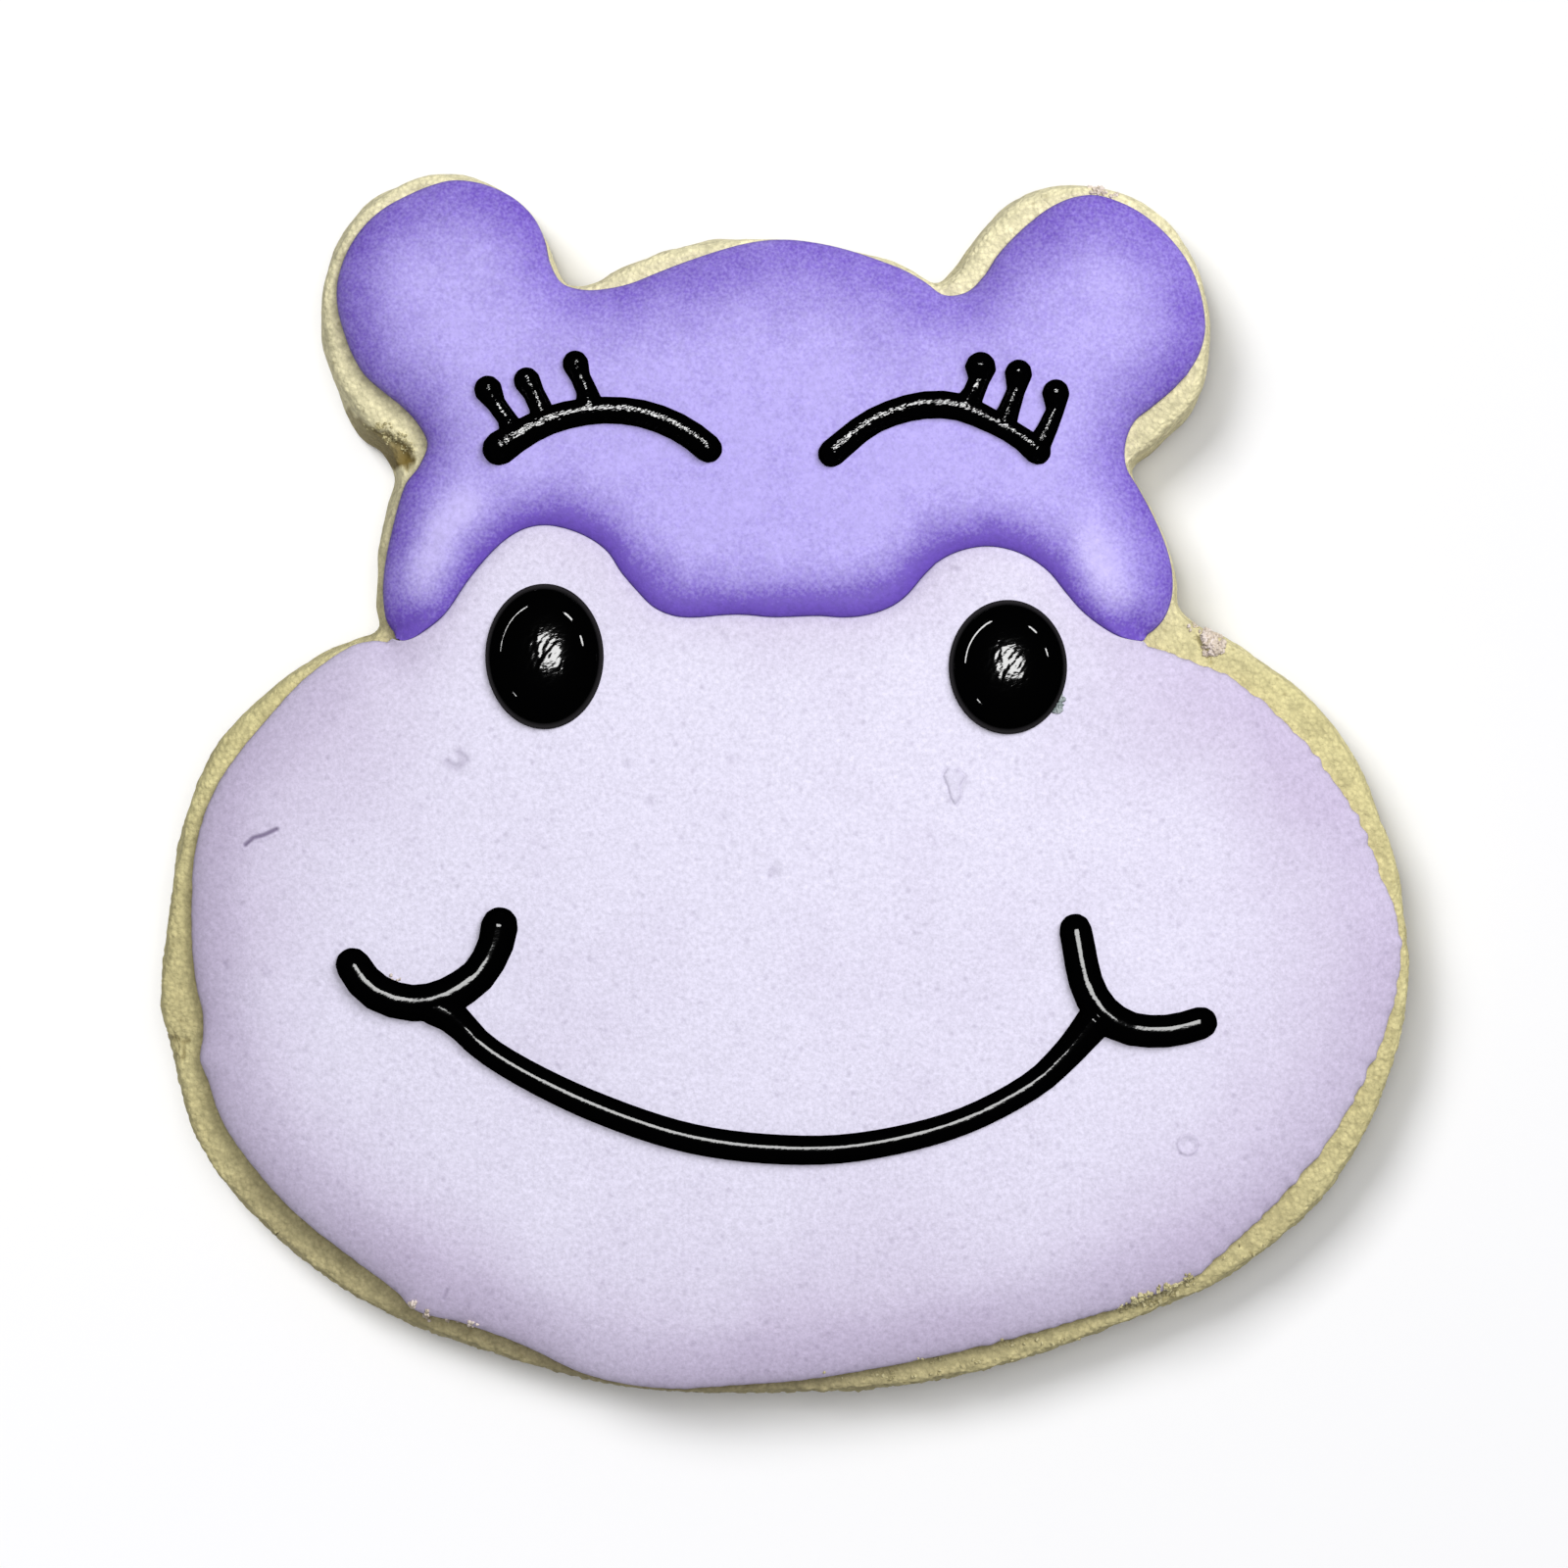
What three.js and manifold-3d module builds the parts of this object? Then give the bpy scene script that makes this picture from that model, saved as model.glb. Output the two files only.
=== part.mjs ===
// A sugar cookie cut and iced as a hippo's face, lying flat with its icing up.
// Millimetres. +Z is up, +Y runs towards the ears and +X towards the right-hand ear.
// The origin is the middle of the footprint, on the surface that the cookie lies on.

import * as THREE from 'three';
import { mergeVertices } from 'three/addons/utils/BufferGeometryUtils.js';
import Module from 'manifold-3d';

const wasm = await Module();
wasm.setup();

// Heights
const BISCUIT_THICK = 6;
const ICING_THICK = 2;
const ICING_TOP = BISCUIT_THICK + ICING_THICK;
const ICING_LIP = 0.35;
const NOSTRIL_RISE = 2.1;
const BEAD_RISE_PER_RADIUS = 1.25;

// Widths across the surface
const ICING_SHOULDER = 4;
const GROOVE = 0.3;
const UNDER_EAR_LEAN = 0.9;
const UNDER_EAR_REACH = 4;
const CRAG = 0.14;

// How finely the curves are stepped
const BISCUIT_STEP = 1.9;
const ICING_STEP = 1.7;
const BEAD_STEP = 1.3;
const BEAD_SIDES = 7;
const NOSTRIL_SIDES = 26;
const NOSTRIL_RINGS = 6;

// The biscuit's side, from the underside up: height, and how far in from its widest line
const BISCUIT_SIDE = [
  [0, 0.5],
  [0.6, 0.1],
  [1.6, 0],
  [3.8, 0.15],
  [5.3, 0.35],
  [5.85, 0.6],
  [BISCUIT_THICK, 0.95],
];

// Rows of points on the icing's rounded edge: distance in from the rim, and spacing along it
const ICING_ROWS = [
  [0.3, 1.5],
  [0.9, 1.6],
  [2, 2],
  [ICING_SHOULDER, 2.6],
];

const COLOURS = {
  biscuit: '#e3d6a0',
  lilac: '#dccfee',
  violet: '#a48ce8',
  black: '#0b0b0d',
};

// The biscuit's widest line, seen from above, anticlockwise from under the right-hand ear
const RIGHT_EAR = [
  [25.2, 22.5], [27.5, 24.5], [29.8, 27.2], [30.7, 31.2], [30.3, 35.6], [28.2, 39.8], [25.6, 41.9],
  [21.7, 43.1], [17.7, 42.6], [15.5, 41.2], [13.1, 38.5], [11.8, 36.5],
];
const CROWN = [
  [10.9, 36.1], [8.6, 37.3], [4.3, 38.6], [-1.4, 39.3], [-5.6, 39.1], [-8.5, 38.4], [-11.3, 37.4],
  [-14.3, 35.9], [-15.6, 36],
];
const LEFT_EAR = [
  [-16.4, 37.6], [-17.3, 39.7], [-19.8, 42.4], [-22.6, 43.7], [-25.1, 43.9], [-28.1, 42.9],
  [-30.9, 40.8], [-33, 36.7], [-33.4, 33], [-32.3, 27.9], [-30.8, 24.9], [-28.9, 23.4],
];
const LEFT_CHEEK = [
  [-28.2, 21.9], [-28.7, 19.8], [-29.3, 16.9], [-29.4, 14.1],
];
const MUZZLE_LEFT = [
  [-29.3, 11.2], [-31.8, 10.1], [-34.7, 8.7], [-37.5, 6.5], [-40.4, 3.6], [-42.1, 0.6], [-43.3, -2.8],
  [-44, -6.4], [-44.6, -10.9], [-45, -15.4], [-44.9, -16.9], [-44.4, -18.4], [-43.9, -20.4],
  [-42.9, -24.4], [-41.3, -27.6], [-38.6, -30.8],
];
const MUZZLE_BOTTOM = [
  [-35.9, -33.4], [-31.8, -36.5], [-27.5, -38.8], [-21.8, -40.9], [-14.1, -43.1], [-8.8, -43.9],
  [-1.6, -44], [5.6, -43.8], [11.1, -43.1], [16.9, -41.7], [25.9, -38.4], [31.3, -36],
];
const MUZZLE_RIGHT = [
  [34.8, -33.6], [38.8, -29.9], [42.1, -24.8], [44.3, -18.9], [45.1, -13.4], [44.8, -9.8],
  [44.1, -5.4], [42.9, -2.2], [41.2, 1.8], [38, 6.2], [35.1, 8.4], [32, 10.5], [29.4, 11.8],
];
const RIGHT_CHEEK = [
  [28.5, 12.7], [28.4, 14.3], [27.8, 16.7], [26.8, 19.4], [25.6, 21.3],
];

// The edge between the two icings: the left-hand lobe's tip, over both nostril bumps, to the right
const BROW_LINE = [
  [-27, 10.3], [-25.7, 11], [-24.2, 12.2], [-23, 14], [-21.6, 15.8], [-20, 17.4], [-18.2, 18.4],
  [-16.4, 18.5], [-14.4, 17.9], [-12.7, 16.9], [-11.5, 15.2], [-10.3, 13.8], [-8.9, 12.5],
  [-7.2, 12], [-3.3, 12.2], [-0.7, 12], [2.3, 12.1], [4.9, 12], [7, 12.5], [8.4, 13.3],
  [9.7, 14.8], [11.1, 16.1], [13.2, 16.9], [15.2, 17], [17.1, 16.4], [18.6, 15.5], [19.9, 14],
  [21.5, 12.2], [23.2, 11], [24.9, 10.3],
];

// The rest of the violet icing's rim, from the right-hand lobe over the ears to the left-hand lobe
const HEAD_RIM = [
  [26.2, 10.9], [27.3, 12.1], [27.7, 14.2], [27.5, 16], [26.6, 18.5], [25.3, 21], [24.4, 22.6],
  [24.3, 24], [24.9, 25.7], [26.4, 27], [28.6, 29], [29.9, 31.5], [29.9, 34], [29, 36.8],
  [27.5, 38.9], [25.1, 40.9], [21.8, 42], [19.2, 41.2], [17.4, 39.9], [15.4, 37.9], [14, 35.9],
  [12.7, 34.9], [11.2, 34.9], [9.6, 36.1], [7.1, 37.2], [3.6, 38.3], [0, 38.8], [-2.8, 38.5],
  [-5.6, 37.7], [-8.4, 36.7], [-11.2, 35.6], [-14, 35.2], [-15.7, 35.6], [-16.7, 37.2], [-17.2, 39.2],
  [-18.1, 40.7], [-19.5, 41.9], [-21.6, 42.8], [-23.8, 43], [-26.5, 42.1], [-29.2, 40.5],
  [-31.1, 38], [-31.9, 35], [-31.4, 32.3], [-30.4, 29.9], [-29.3, 28.5], [-27.9, 27.5], [-26.5, 26.1],
  [-25.5, 24.8], [-25.6, 23.3], [-26.9, 21.5], [-27.9, 18.2], [-28.5, 15.1], [-28.5, 12.6],
  [-28, 11],
];

// The rest of the lilac icing's rim, from the left-hand lobe down round the muzzle to the right
const MUZZLE_RIM = [
  [-29.2, 10.2], [-30.9, 9.8], [-32.5, 8.8], [-34.6, 7.1], [-36.6, 4.9], [-38.7, 2.4], [-40.4, -0.1],
  [-41.4, -2.5], [-42, -5], [-42.2, -7.8], [-42.2, -11.2], [-41.9, -14.2], [-41.4, -16.5],
  [-41.4, -17.9], [-41.7, -19.2], [-41, -21.2], [-40.1, -23.9], [-37.9, -27.2], [-34.7, -30.7],
  [-30.4, -34.1], [-27.6, -36.2], [-26.2, -37.6], [-23.6, -38.2], [-21.2, -39], [-18.1, -40.2],
  [-15.3, -41.6], [-12.2, -42.6], [-7.9, -43.1], [-4.2, -42.9], [1.2, -42.5], [7.4, -41.5],
  [14, -40.1], [21.1, -38.2], [25.1, -36.9], [29.2, -35.1], [31.9, -32.9], [35.9, -29],
  [39.5, -24.4], [42.3, -19], [43.6, -15], [44, -12], [43.6, -9.2], [42.6, -6.6],
  [41, -2.6], [39.4, -0.1], [37.6, 2.4], [35.5, 4.6], [33.5, 6.4], [31.8, 7.6], [29.7, 8.5],
  [27.8, 9.2], [26.2, 9.8],
];

// Piped lines: x, y and half width at each point
const SMILE = [
  [
    [-24.8, -15.9, 1.2], [-23.5, -16.6, 1.1], [-22.6, -17.5, 0.97], [-21.5, -18.6, 0.92],
    [-18.8, -20.35, 0.93], [-13.3, -23, 0.98], [-6.6, -25.2, 0.98], [0, -26, 0.97], [5.3, -25.8, 0.93],
    [12.4, -24.1, 0.88], [17.8, -21.3, 0.9], [19.7, -19.6, 0.97], [20.8, -18.4, 1.05], [22, -16.9, 1.2],
  ],
  [
    [-30.6, -12.9, 1.16], [-29.6, -14.3, 1.22], [-28.4, -15.1, 1.24], [-27.3, -15.45, 1.21],
    [-25.9, -15.6, 1.23], [-24.4, -15.3, 1.25], [-23, -14.6, 1.22], [-21.7, -13.6, 1.18],
    [-20.9, -12.4, 1.17], [-20.4, -11.2, 1.2], [-20.2, -10.1, 1.24],
  ],
  [
    [20.7, -10.4, 1.07], [21, -12, 1.1], [21.3, -13.6, 1.12], [21.8, -15, 1.15], [22.7, -16.3, 1.18],
    [23.8, -17.1, 1.16], [25, -17.5, 1.1], [26.4, -17.6, 1.08], [27.8, -17.5, 1.08], [29.6, -17, 1.08],
  ],
];
const EYE_LEFT = [
  [
    [-20.2, 23.8, 1.13], [-18.4, 24.95, 0.96], [-16.2, 25.95, 0.91], [-13.1, 26.5, 0.86],
    [-10.5, 26.35, 0.88], [-8.6, 25.8, 0.9], [-6.8, 24.9, 0.91], [-5.4, 23.8, 0.93],
  ],
  [[-21, 27.95, 0.92], [-20.2, 26.6, 0.52], [-19.6, 25.8, 0.62], [-19.2, 24.9, 0.85]],
  [[-18.25, 28.6, 0.86], [-17.6, 27.4, 0.64], [-17.2, 26.5, 0.75], [-17, 25.8, 0.8]],
  [[-14.8, 29.8, 0.85], [-14.3, 28.5, 0.57], [-13.9, 27.6, 0.72], [-13.8, 26.9, 0.9]],
];
const EYE_RIGHT = [
  [
    [3.4, 23.45, 0.9], [6.1, 25.6, 0.83], [8.6, 26.6, 0.86], [10.5, 26.9, 0.89],
    [12.4, 26.75, 0.88], [14.3, 25.95, 0.78], [16.6, 24.7, 0.72], [18, 23.6, 0.87],
  ],
  [[13.95, 29.5, 1.04], [13.75, 28.25, 0.57], [13.4, 27.6, 0.72], [13, 26.9, 0.85]],
  [[16.65, 29.1, 0.9], [16.4, 27.6, 0.52], [16, 26.6, 0.68], [15.6, 25.6, 0.8]],
  [[19.3, 27.7, 0.9], [19.25, 26.5, 0.55], [18.75, 25.3, 0.62], [18.2, 24.2, 0.72]],
];

// Nostrils: middle x and y, half width and half height
const NOSTRILS = {
  nostril_left: [-17, 9.05, 4.2, 5.2],
  nostril_right: [15.9, 8.3, 4.2, 4.8],
};

// The notches below the ears, where the biscuit's side is worn to a slope
const UNDER_EARS = [[-30.5, 24.8, 1], [27.4, 24.4, 0.35]];

function toVector([x, y, third = 0]) {
  return new THREE.Vector3(x, y, third);
}

// A smooth closed line through the anchors, in steps of about the given length
function closedLine(anchors, step) {
  const curve = new THREE.CatmullRomCurve3(anchors.map(toVector), true, 'centripetal');
  const count = Math.round(curve.getLength() / step);
  return curve.getSpacedPoints(count).slice(0, count);
}

// A closed line made of smooth stretches, with a corner where each one meets the next
function corneredLine(stretches, step) {
  return stretches.flatMap((anchors, i) => {
    const corner = stretches[(i + 1) % stretches.length][0];
    const curve = new THREE.CatmullRomCurve3([...anchors, corner].map(toVector), false, 'centripetal');
    const count = Math.round(curve.getLength() / step);
    return curve.getSpacedPoints(count).slice(0, count);
  });
}

// Unit vectors that point out of an anticlockwise line, one for each of its points
function outwards(line) {
  return line.map((_, i) => {
    const before = line.at(i - 1);
    const after = line[(i + 1) % line.length];
    return new THREE.Vector3(after.y - before.y, before.x - after.x, 0).normalize();
  });
}

// Moves a closed line's points inwards
function insetLine(line, distance) {
  const normals = outwards(line);
  return line.map((p, i) => p.clone().addScaledVector(normals[i], -distance));
}

function distanceToLine(point, line) {
  const nearest = new THREE.Vector3();
  const edge = new THREE.Line3();
  const lengths = line.map((p, i) => {
    edge.set(p, line[(i + 1) % line.length]);
    return edge.closestPointToPoint(point, true, nearest).distanceTo(point);
  });
  return Math.min(...lengths);
}

function isInside(point, line) {
  let inside = false;
  line.forEach((a, i) => {
    const b = line[(i + 1) % line.length];
    const spans = (a.y > point.y) !== (b.y > point.y);
    if (spans && point.x < a.x + ((b.x - a.x) * (point.y - a.y)) / (b.y - a.y)) {
      inside = !inside;
    }
  });
  return inside;
}

// The circle through three points, as its middle and its radius squared
function circleThrough(a, b, c) {
  const ab = new THREE.Vector2(b.x - a.x, b.y - a.y);
  const ac = new THREE.Vector2(c.x - a.x, c.y - a.y);
  const doubleCross = 2 * ab.cross(ac);
  const x = (ac.y * ab.lengthSq() - ab.y * ac.lengthSq()) / doubleCross;
  const y = (ab.x * ac.lengthSq() - ac.x * ab.lengthSq()) / doubleCross;
  return { x: a.x + x, y: a.y + y, radiusSq: x * x + y * y };
}

// Adds the points one by one: the triangles whose circles hold the new point are replaced by a fan
function triangulate(points) {
  const far = 1000;
  const all = [...points, ...[[-far, -far], [far, -far], [0, far]].map(toVector)];
  const n = points.length;
  const makeTriangle = (a, b, c) => ({ corners: [a, b, c], circle: circleThrough(all[a], all[b], all[c]) });
  let triangles = [makeTriangle(n, n + 1, n + 2)];
  points.forEach((p, index) => {
    const holds = ({ circle }) => (p.x - circle.x) ** 2 + (p.y - circle.y) ** 2 < circle.radiusSq;
    const edges = new Map();
    for (const { corners: [a, b, c] } of triangles.filter(holds)) {
      for (const [from, to] of [[a, b], [b, c], [c, a]]) {
        if (!edges.delete(`${to} ${from}`)) edges.set(`${from} ${to}`, [from, to]);
      }
    }
    triangles = triangles.filter((t) => !holds(t));
    edges.forEach(([from, to]) => triangles.push(makeTriangle(from, to, index)));
  });
  return triangles.map((t) => t.corners).filter((corners) => Math.max(...corners) < n);
}

// Triangles that fill a closed line. Its own points come first, then any points within it.
function fillLine(line, innerPoints = []) {
  const points = [...line, ...innerPoints];
  return triangulate(points).filter(([a, b, c]) => {
    const middle = points[a].clone().add(points[b]).add(points[c]).divideScalar(3);
    return isInside(middle, line);
  });
}

// Quads, as pairs of triangles, between two rings that are stored one after the other
function bandBetween(lower, upper, count) {
  const faces = [];
  for (let i = 0; i < count; i += 1) {
    const next = (i + 1) % count;
    faces.push([lower + i, lower + next, upper + next], [lower + i, upper + next, upper + i]);
  }
  return faces;
}

function toGeometry(points, faces) {
  const geometry = new THREE.BufferGeometry().setFromPoints(points);
  geometry.setIndex(faces.flat());
  return geometry;
}

function atHeight(line, z) {
  return line.map((p) => new THREE.Vector3(p.x, p.y, z));
}

// A smooth uneven field between about -1 and 1, the same on every run
function unevenness(x, y, z) {
  const slow = Math.sin(0.9 * x + 1.7 * z) * Math.cos(0.8 * y - 0.6 * z);
  const quick = Math.sin(2.3 * x - 1.9 * y + 2.1 * z);
  return 0.6 * slow + 0.4 * quick;
}

// How much further in the worn side lies at the top, near the notches below the ears
function wornLean(point) {
  return UNDER_EARS.reduce((lean, [x, y, share]) => {
    const away = Math.hypot(point.x - x, point.y - y) / UNDER_EAR_REACH;
    return lean + UNDER_EAR_LEAN * share * Math.exp(-away * away);
  }, 0);
}

function biscuitGeometry(line) {
  const normals = outwards(line);
  const count = line.length;
  const points = [];
  for (const [height, inset] of BISCUIT_SIDE) {
    line.forEach((p, i) => {
      const worn = wornLean(p) * (height / BISCUIT_THICK);
      const crag = CRAG * unevenness(p.x, p.y, height);
      const placed = p.clone().addScaledVector(normals[i], -inset - worn - crag);
      points.push(placed.setZ(height));
    });
  }
  const top = count * (BISCUIT_SIDE.length - 1);
  const underside = fillLine(points.slice(0, count)).map(([a, b, c]) => [a, c, b]);
  const topFace = fillLine(points.slice(top)).map((face) => face.map((corner) => corner + top));
  const side = BISCUIT_SIDE.slice(1).flatMap((_, i) => bandBetween(count * i, count * (i + 1), count));
  return toGeometry(points, [...underside, ...side, ...topFace]);
}

// Height of set icing above its lip, at a distance in from its rim
function shoulderRise(distance) {
  const short = 1 - Math.min(distance / ICING_SHOULDER, 1);
  return (ICING_THICK - ICING_LIP) * Math.sqrt(1 - short * short);
}

// Points in from the rim for one row, left out where another part of the rim is too near
function icingRow(rim, distance, spacing) {
  const kept = [];
  for (const p of insetLine(rim, distance)) {
    const clearOfRow = kept.every((q) => q.distanceTo(p) > spacing * 0.8);
    if (clearOfRow && isInside(p, rim) && distanceToLine(p, rim) > distance * 0.9) kept.push(p);
  }
  return atHeight(kept, BISCUIT_THICK + ICING_LIP + shoulderRise(distance));
}

function icingGeometry(rim) {
  const count = rim.length;
  const rows = ICING_ROWS.flatMap(([distance, spacing]) => icingRow(rim, distance, spacing));
  const flatRows = atHeight(rows, 0);
  const upper = fillLine(rim, flatRows).map((face) => face.map((corner) => corner + count));
  const underside = fillLine(rim).map(([a, b, c]) => [a, c, b]);
  const lip = bandBetween(0, count, count);
  const points = [...atHeight(rim, BISCUIT_THICK), ...atHeight(rim, BISCUIT_THICK + ICING_LIP), ...rows];
  return toGeometry(points, [...underside, ...lip, ...upper]);
}

// One ring of a piped line: flat below and half round above
function beadRing(centre, across, halfWidth) {
  const ring = [];
  for (let k = 0; k <= BEAD_SIDES; k += 1) {
    const angle = (Math.PI * k) / BEAD_SIDES;
    const point = centre.clone().addScaledVector(across, halfWidth * Math.cos(angle));
    ring.push(point.setZ(ICING_TOP + halfWidth * BEAD_RISE_PER_RADIUS * Math.sin(angle)));
  }
  return ring;
}

// A piped line through the given points, with round ends
function beadGeometry(stroke) {
  const curve = new THREE.CatmullRomCurve3(stroke.map(toVector), false, 'centripetal');
  const samples = curve.getSpacedPoints(Math.max(3, Math.round(curve.getLength() / BEAD_STEP)));
  const flat = atHeight(samples, 0);
  const along = flat.map((p, i) => {
    const before = flat[Math.max(i - 1, 0)];
    const after = flat[Math.min(i + 1, flat.length - 1)];
    return after.clone().sub(before).normalize();
  });
  const rings = [];
  const addRing = (i, shift, share) => {
    const centre = flat[i].clone().addScaledVector(along[i], shift);
    const across = new THREE.Vector3(-along[i].y, along[i].x, 0);
    rings.push(beadRing(centre, across, samples[i].z * share));
  };
  const last = flat.length - 1;
  const endAngles = [65, 35].map(THREE.MathUtils.degToRad);
  endAngles.forEach((a) => addRing(0, -samples[0].z * Math.sin(a), Math.cos(a)));
  flat.forEach((_, i) => addRing(i, 0, 1));
  endAngles.reverse().forEach((a) => addRing(last, samples[last].z * Math.sin(a), Math.cos(a)));
  const size = BEAD_SIDES + 1;
  const tips = [
    flat[0].clone().addScaledVector(along[0], -samples[0].z),
    flat[last].clone().addScaledVector(along[last], samples[last].z),
  ];
  const points = [...rings.flat(), ...atHeight(tips, ICING_TOP)];
  const firstTip = points.length - 2;
  const lastRing = size * (rings.length - 1);
  const faces = rings.slice(1).flatMap((_, i) => bandBetween(size * i, size * (i + 1), size));
  for (let k = 0; k < size; k += 1) {
    const next = (k + 1) % size;
    faces.push([next, k, firstTip], [lastRing + k, lastRing + next, firstTip + 1]);
  }
  return toGeometry(points, faces);
}

function toSolid(geometry) {
  const merged = mergeVertices(geometry);
  return new wasm.Manifold(new wasm.Mesh({
    numProp: 3,
    vertProperties: Float32Array.from(merged.attributes.position.array),
    triVerts: Uint32Array.from(merged.index.array),
  }));
}

// Joins the strokes of one piped figure into a single solid
function pipedGeometry(strokes) {
  const solid = strokes.map((stroke) => toSolid(beadGeometry(stroke))).reduce((all, one) => all.add(one));
  const mesh = solid.getMesh();
  const geometry = new THREE.BufferGeometry();
  geometry.setAttribute('position', new THREE.BufferAttribute(mesh.vertProperties, mesh.numProp));
  geometry.setIndex(new THREE.BufferAttribute(mesh.triVerts, 1));
  return geometry;
}

// A thick oval drop with a flat underside
function nostrilGeometry([x, y, halfWidth, halfHeight]) {
  const points = [];
  for (let ring = 0; ring < NOSTRIL_RINGS; ring += 1) {
    const climb = ((Math.PI / 2) * ring) / NOSTRIL_RINGS;
    for (let k = 0; k < NOSTRIL_SIDES; k += 1) {
      const turn = (2 * Math.PI * k) / NOSTRIL_SIDES;
      points.push(new THREE.Vector3(
        x + halfWidth * Math.cos(climb) * Math.cos(turn),
        y + halfHeight * Math.cos(climb) * Math.sin(turn),
        ICING_TOP + NOSTRIL_RISE * Math.sin(climb),
      ));
    }
  }
  const underside = fillLine(points.slice(0, NOSTRIL_SIDES)).map(([a, b, c]) => [a, c, b]);
  const faces = [...underside];
  for (let ring = 1; ring < NOSTRIL_RINGS; ring += 1) {
    faces.push(...bandBetween(NOSTRIL_SIDES * (ring - 1), NOSTRIL_SIDES * ring, NOSTRIL_SIDES));
  }
  const peak = points.push(new THREE.Vector3(x, y, ICING_TOP + NOSTRIL_RISE)) - 1;
  const lastRing = NOSTRIL_SIDES * (NOSTRIL_RINGS - 1);
  for (let k = 0; k < NOSTRIL_SIDES; k += 1) {
    faces.push([lastRing + k, lastRing + ((k + 1) % NOSTRIL_SIDES), peak]);
  }
  return toGeometry(points, faces);
}

function addPiece(group, name, geometry, colour, roughness) {
  geometry.computeVertexNormals();
  const material = new THREE.MeshStandardMaterial({ color: COLOURS[colour], roughness, metalness: 0 });
  const mesh = new THREE.Mesh(geometry, material);
  mesh.name = name;
  group.add(mesh);
}

// The lilac icing stops short of the violet by the groove, measured square to the brow line
function belowBrow(line) {
  return line.map((anchor, i) => {
    const before = line[Math.max(i - 1, 0)];
    const after = line[Math.min(i + 1, line.length - 1)];
    const along = new THREE.Vector2(after[0] - before[0], after[1] - before[1]).normalize();
    return [anchor[0] + GROOVE * along.y, anchor[1] - GROOVE * along.x];
  });
}

const biscuitStretches = [
  RIGHT_EAR, CROWN, LEFT_EAR, LEFT_CHEEK, [...MUZZLE_LEFT, ...MUZZLE_BOTTOM, ...MUZZLE_RIGHT], RIGHT_CHEEK,
];
const muzzleLine = [...MUZZLE_RIM, ...belowBrow(BROW_LINE).reverse()];
const headLine = [...BROW_LINE, ...HEAD_RIM];

const cookie = new THREE.Group();
addPiece(cookie, 'biscuit', biscuitGeometry(corneredLine(biscuitStretches, BISCUIT_STEP)), 'biscuit', 0.9);
addPiece(cookie, 'muzzle_icing', icingGeometry(closedLine(muzzleLine, ICING_STEP)), 'lilac', 0.55);
addPiece(cookie, 'head_icing', icingGeometry(closedLine(headLine, ICING_STEP)), 'violet', 0.55);
for (const [name, oval] of Object.entries(NOSTRILS)) {
  addPiece(cookie, name, nostrilGeometry(oval), 'black', 0.1);
}
addPiece(cookie, 'eye_left', pipedGeometry(EYE_LEFT), 'black', 0.1);
addPiece(cookie, 'eye_right', pipedGeometry(EYE_RIGHT), 'black', 0.1);
addPiece(cookie, 'smile', pipedGeometry(SMILE), 'black', 0.1);

// The origin goes to the middle of the footprint
const middle = new THREE.Box3().setFromObject(cookie).getCenter(new THREE.Vector3());
cookie.position.set(-middle.x, -middle.y, 0);

export default cookie;
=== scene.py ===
"""A sugar cookie cut and iced as a hippo's face, lying on a pale floor and seen from straight above.

Lengths are in millimetres until a mesh is made. The outlines and heights are read from the frame.
"""

import math

import bmesh
import bpy
import numpy as np
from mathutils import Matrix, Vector, noise
from mathutils.geometry import delaunay_2d_cdt
from mathutils.kdtree import KDTree


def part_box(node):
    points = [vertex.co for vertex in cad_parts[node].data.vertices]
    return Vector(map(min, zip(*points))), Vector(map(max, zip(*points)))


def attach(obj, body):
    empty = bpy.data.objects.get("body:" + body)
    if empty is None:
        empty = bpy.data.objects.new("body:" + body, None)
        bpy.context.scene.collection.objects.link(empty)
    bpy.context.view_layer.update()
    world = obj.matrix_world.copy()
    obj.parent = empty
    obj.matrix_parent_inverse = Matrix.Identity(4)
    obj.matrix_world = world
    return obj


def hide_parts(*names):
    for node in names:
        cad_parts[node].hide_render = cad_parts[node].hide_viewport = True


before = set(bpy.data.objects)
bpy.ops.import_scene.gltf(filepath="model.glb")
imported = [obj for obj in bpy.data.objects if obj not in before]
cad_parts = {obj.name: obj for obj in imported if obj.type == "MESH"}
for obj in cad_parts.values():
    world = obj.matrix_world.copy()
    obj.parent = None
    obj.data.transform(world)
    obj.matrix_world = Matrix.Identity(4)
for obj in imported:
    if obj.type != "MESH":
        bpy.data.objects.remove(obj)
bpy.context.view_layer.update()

MM = 0.001

# The photograph's camera
PHOTO_SIDE = 1600
SENSOR = 36
LENS = 143.9
CAMERA_AIM = Vector((-0.06, 0.1, 3))
CAMERA_DISTANCE = 450

# Heights, from the frame
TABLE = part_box("biscuit")[0].z / MM
BISCUIT_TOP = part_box("biscuit")[1].z / MM
ICING_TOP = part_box("head_icing")[1].z / MM
ICING_THICK = ICING_TOP - BISCUIT_TOP

# The icings' rounded edges: height where they start, and how far in they reach
FREE_LIP = 0.35
FREE_SHOULDER = 5.5
JOINT_LIP = 1.5
JOINT_SHOULDER = 1.7
SHOULDER_BLEND = 0.08
# How far the icings' rims go down into the biscuit
ICING_SKIRT = 1.15
# The icings' rims meet where they are nearer to each other than this, and the gap that stays between them
JOINT_REACH = 0.8
JOINT_GAP = 0.02

# Fineness of the meshes
SECTION_STEP = 0.2
SPLINE_STEPS = 12
RIM_STEP = 0.25
RIM_ROWS = (0.05, 0.14, 0.28, 0.46)
RIM_CLEAR = 0.62
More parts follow.
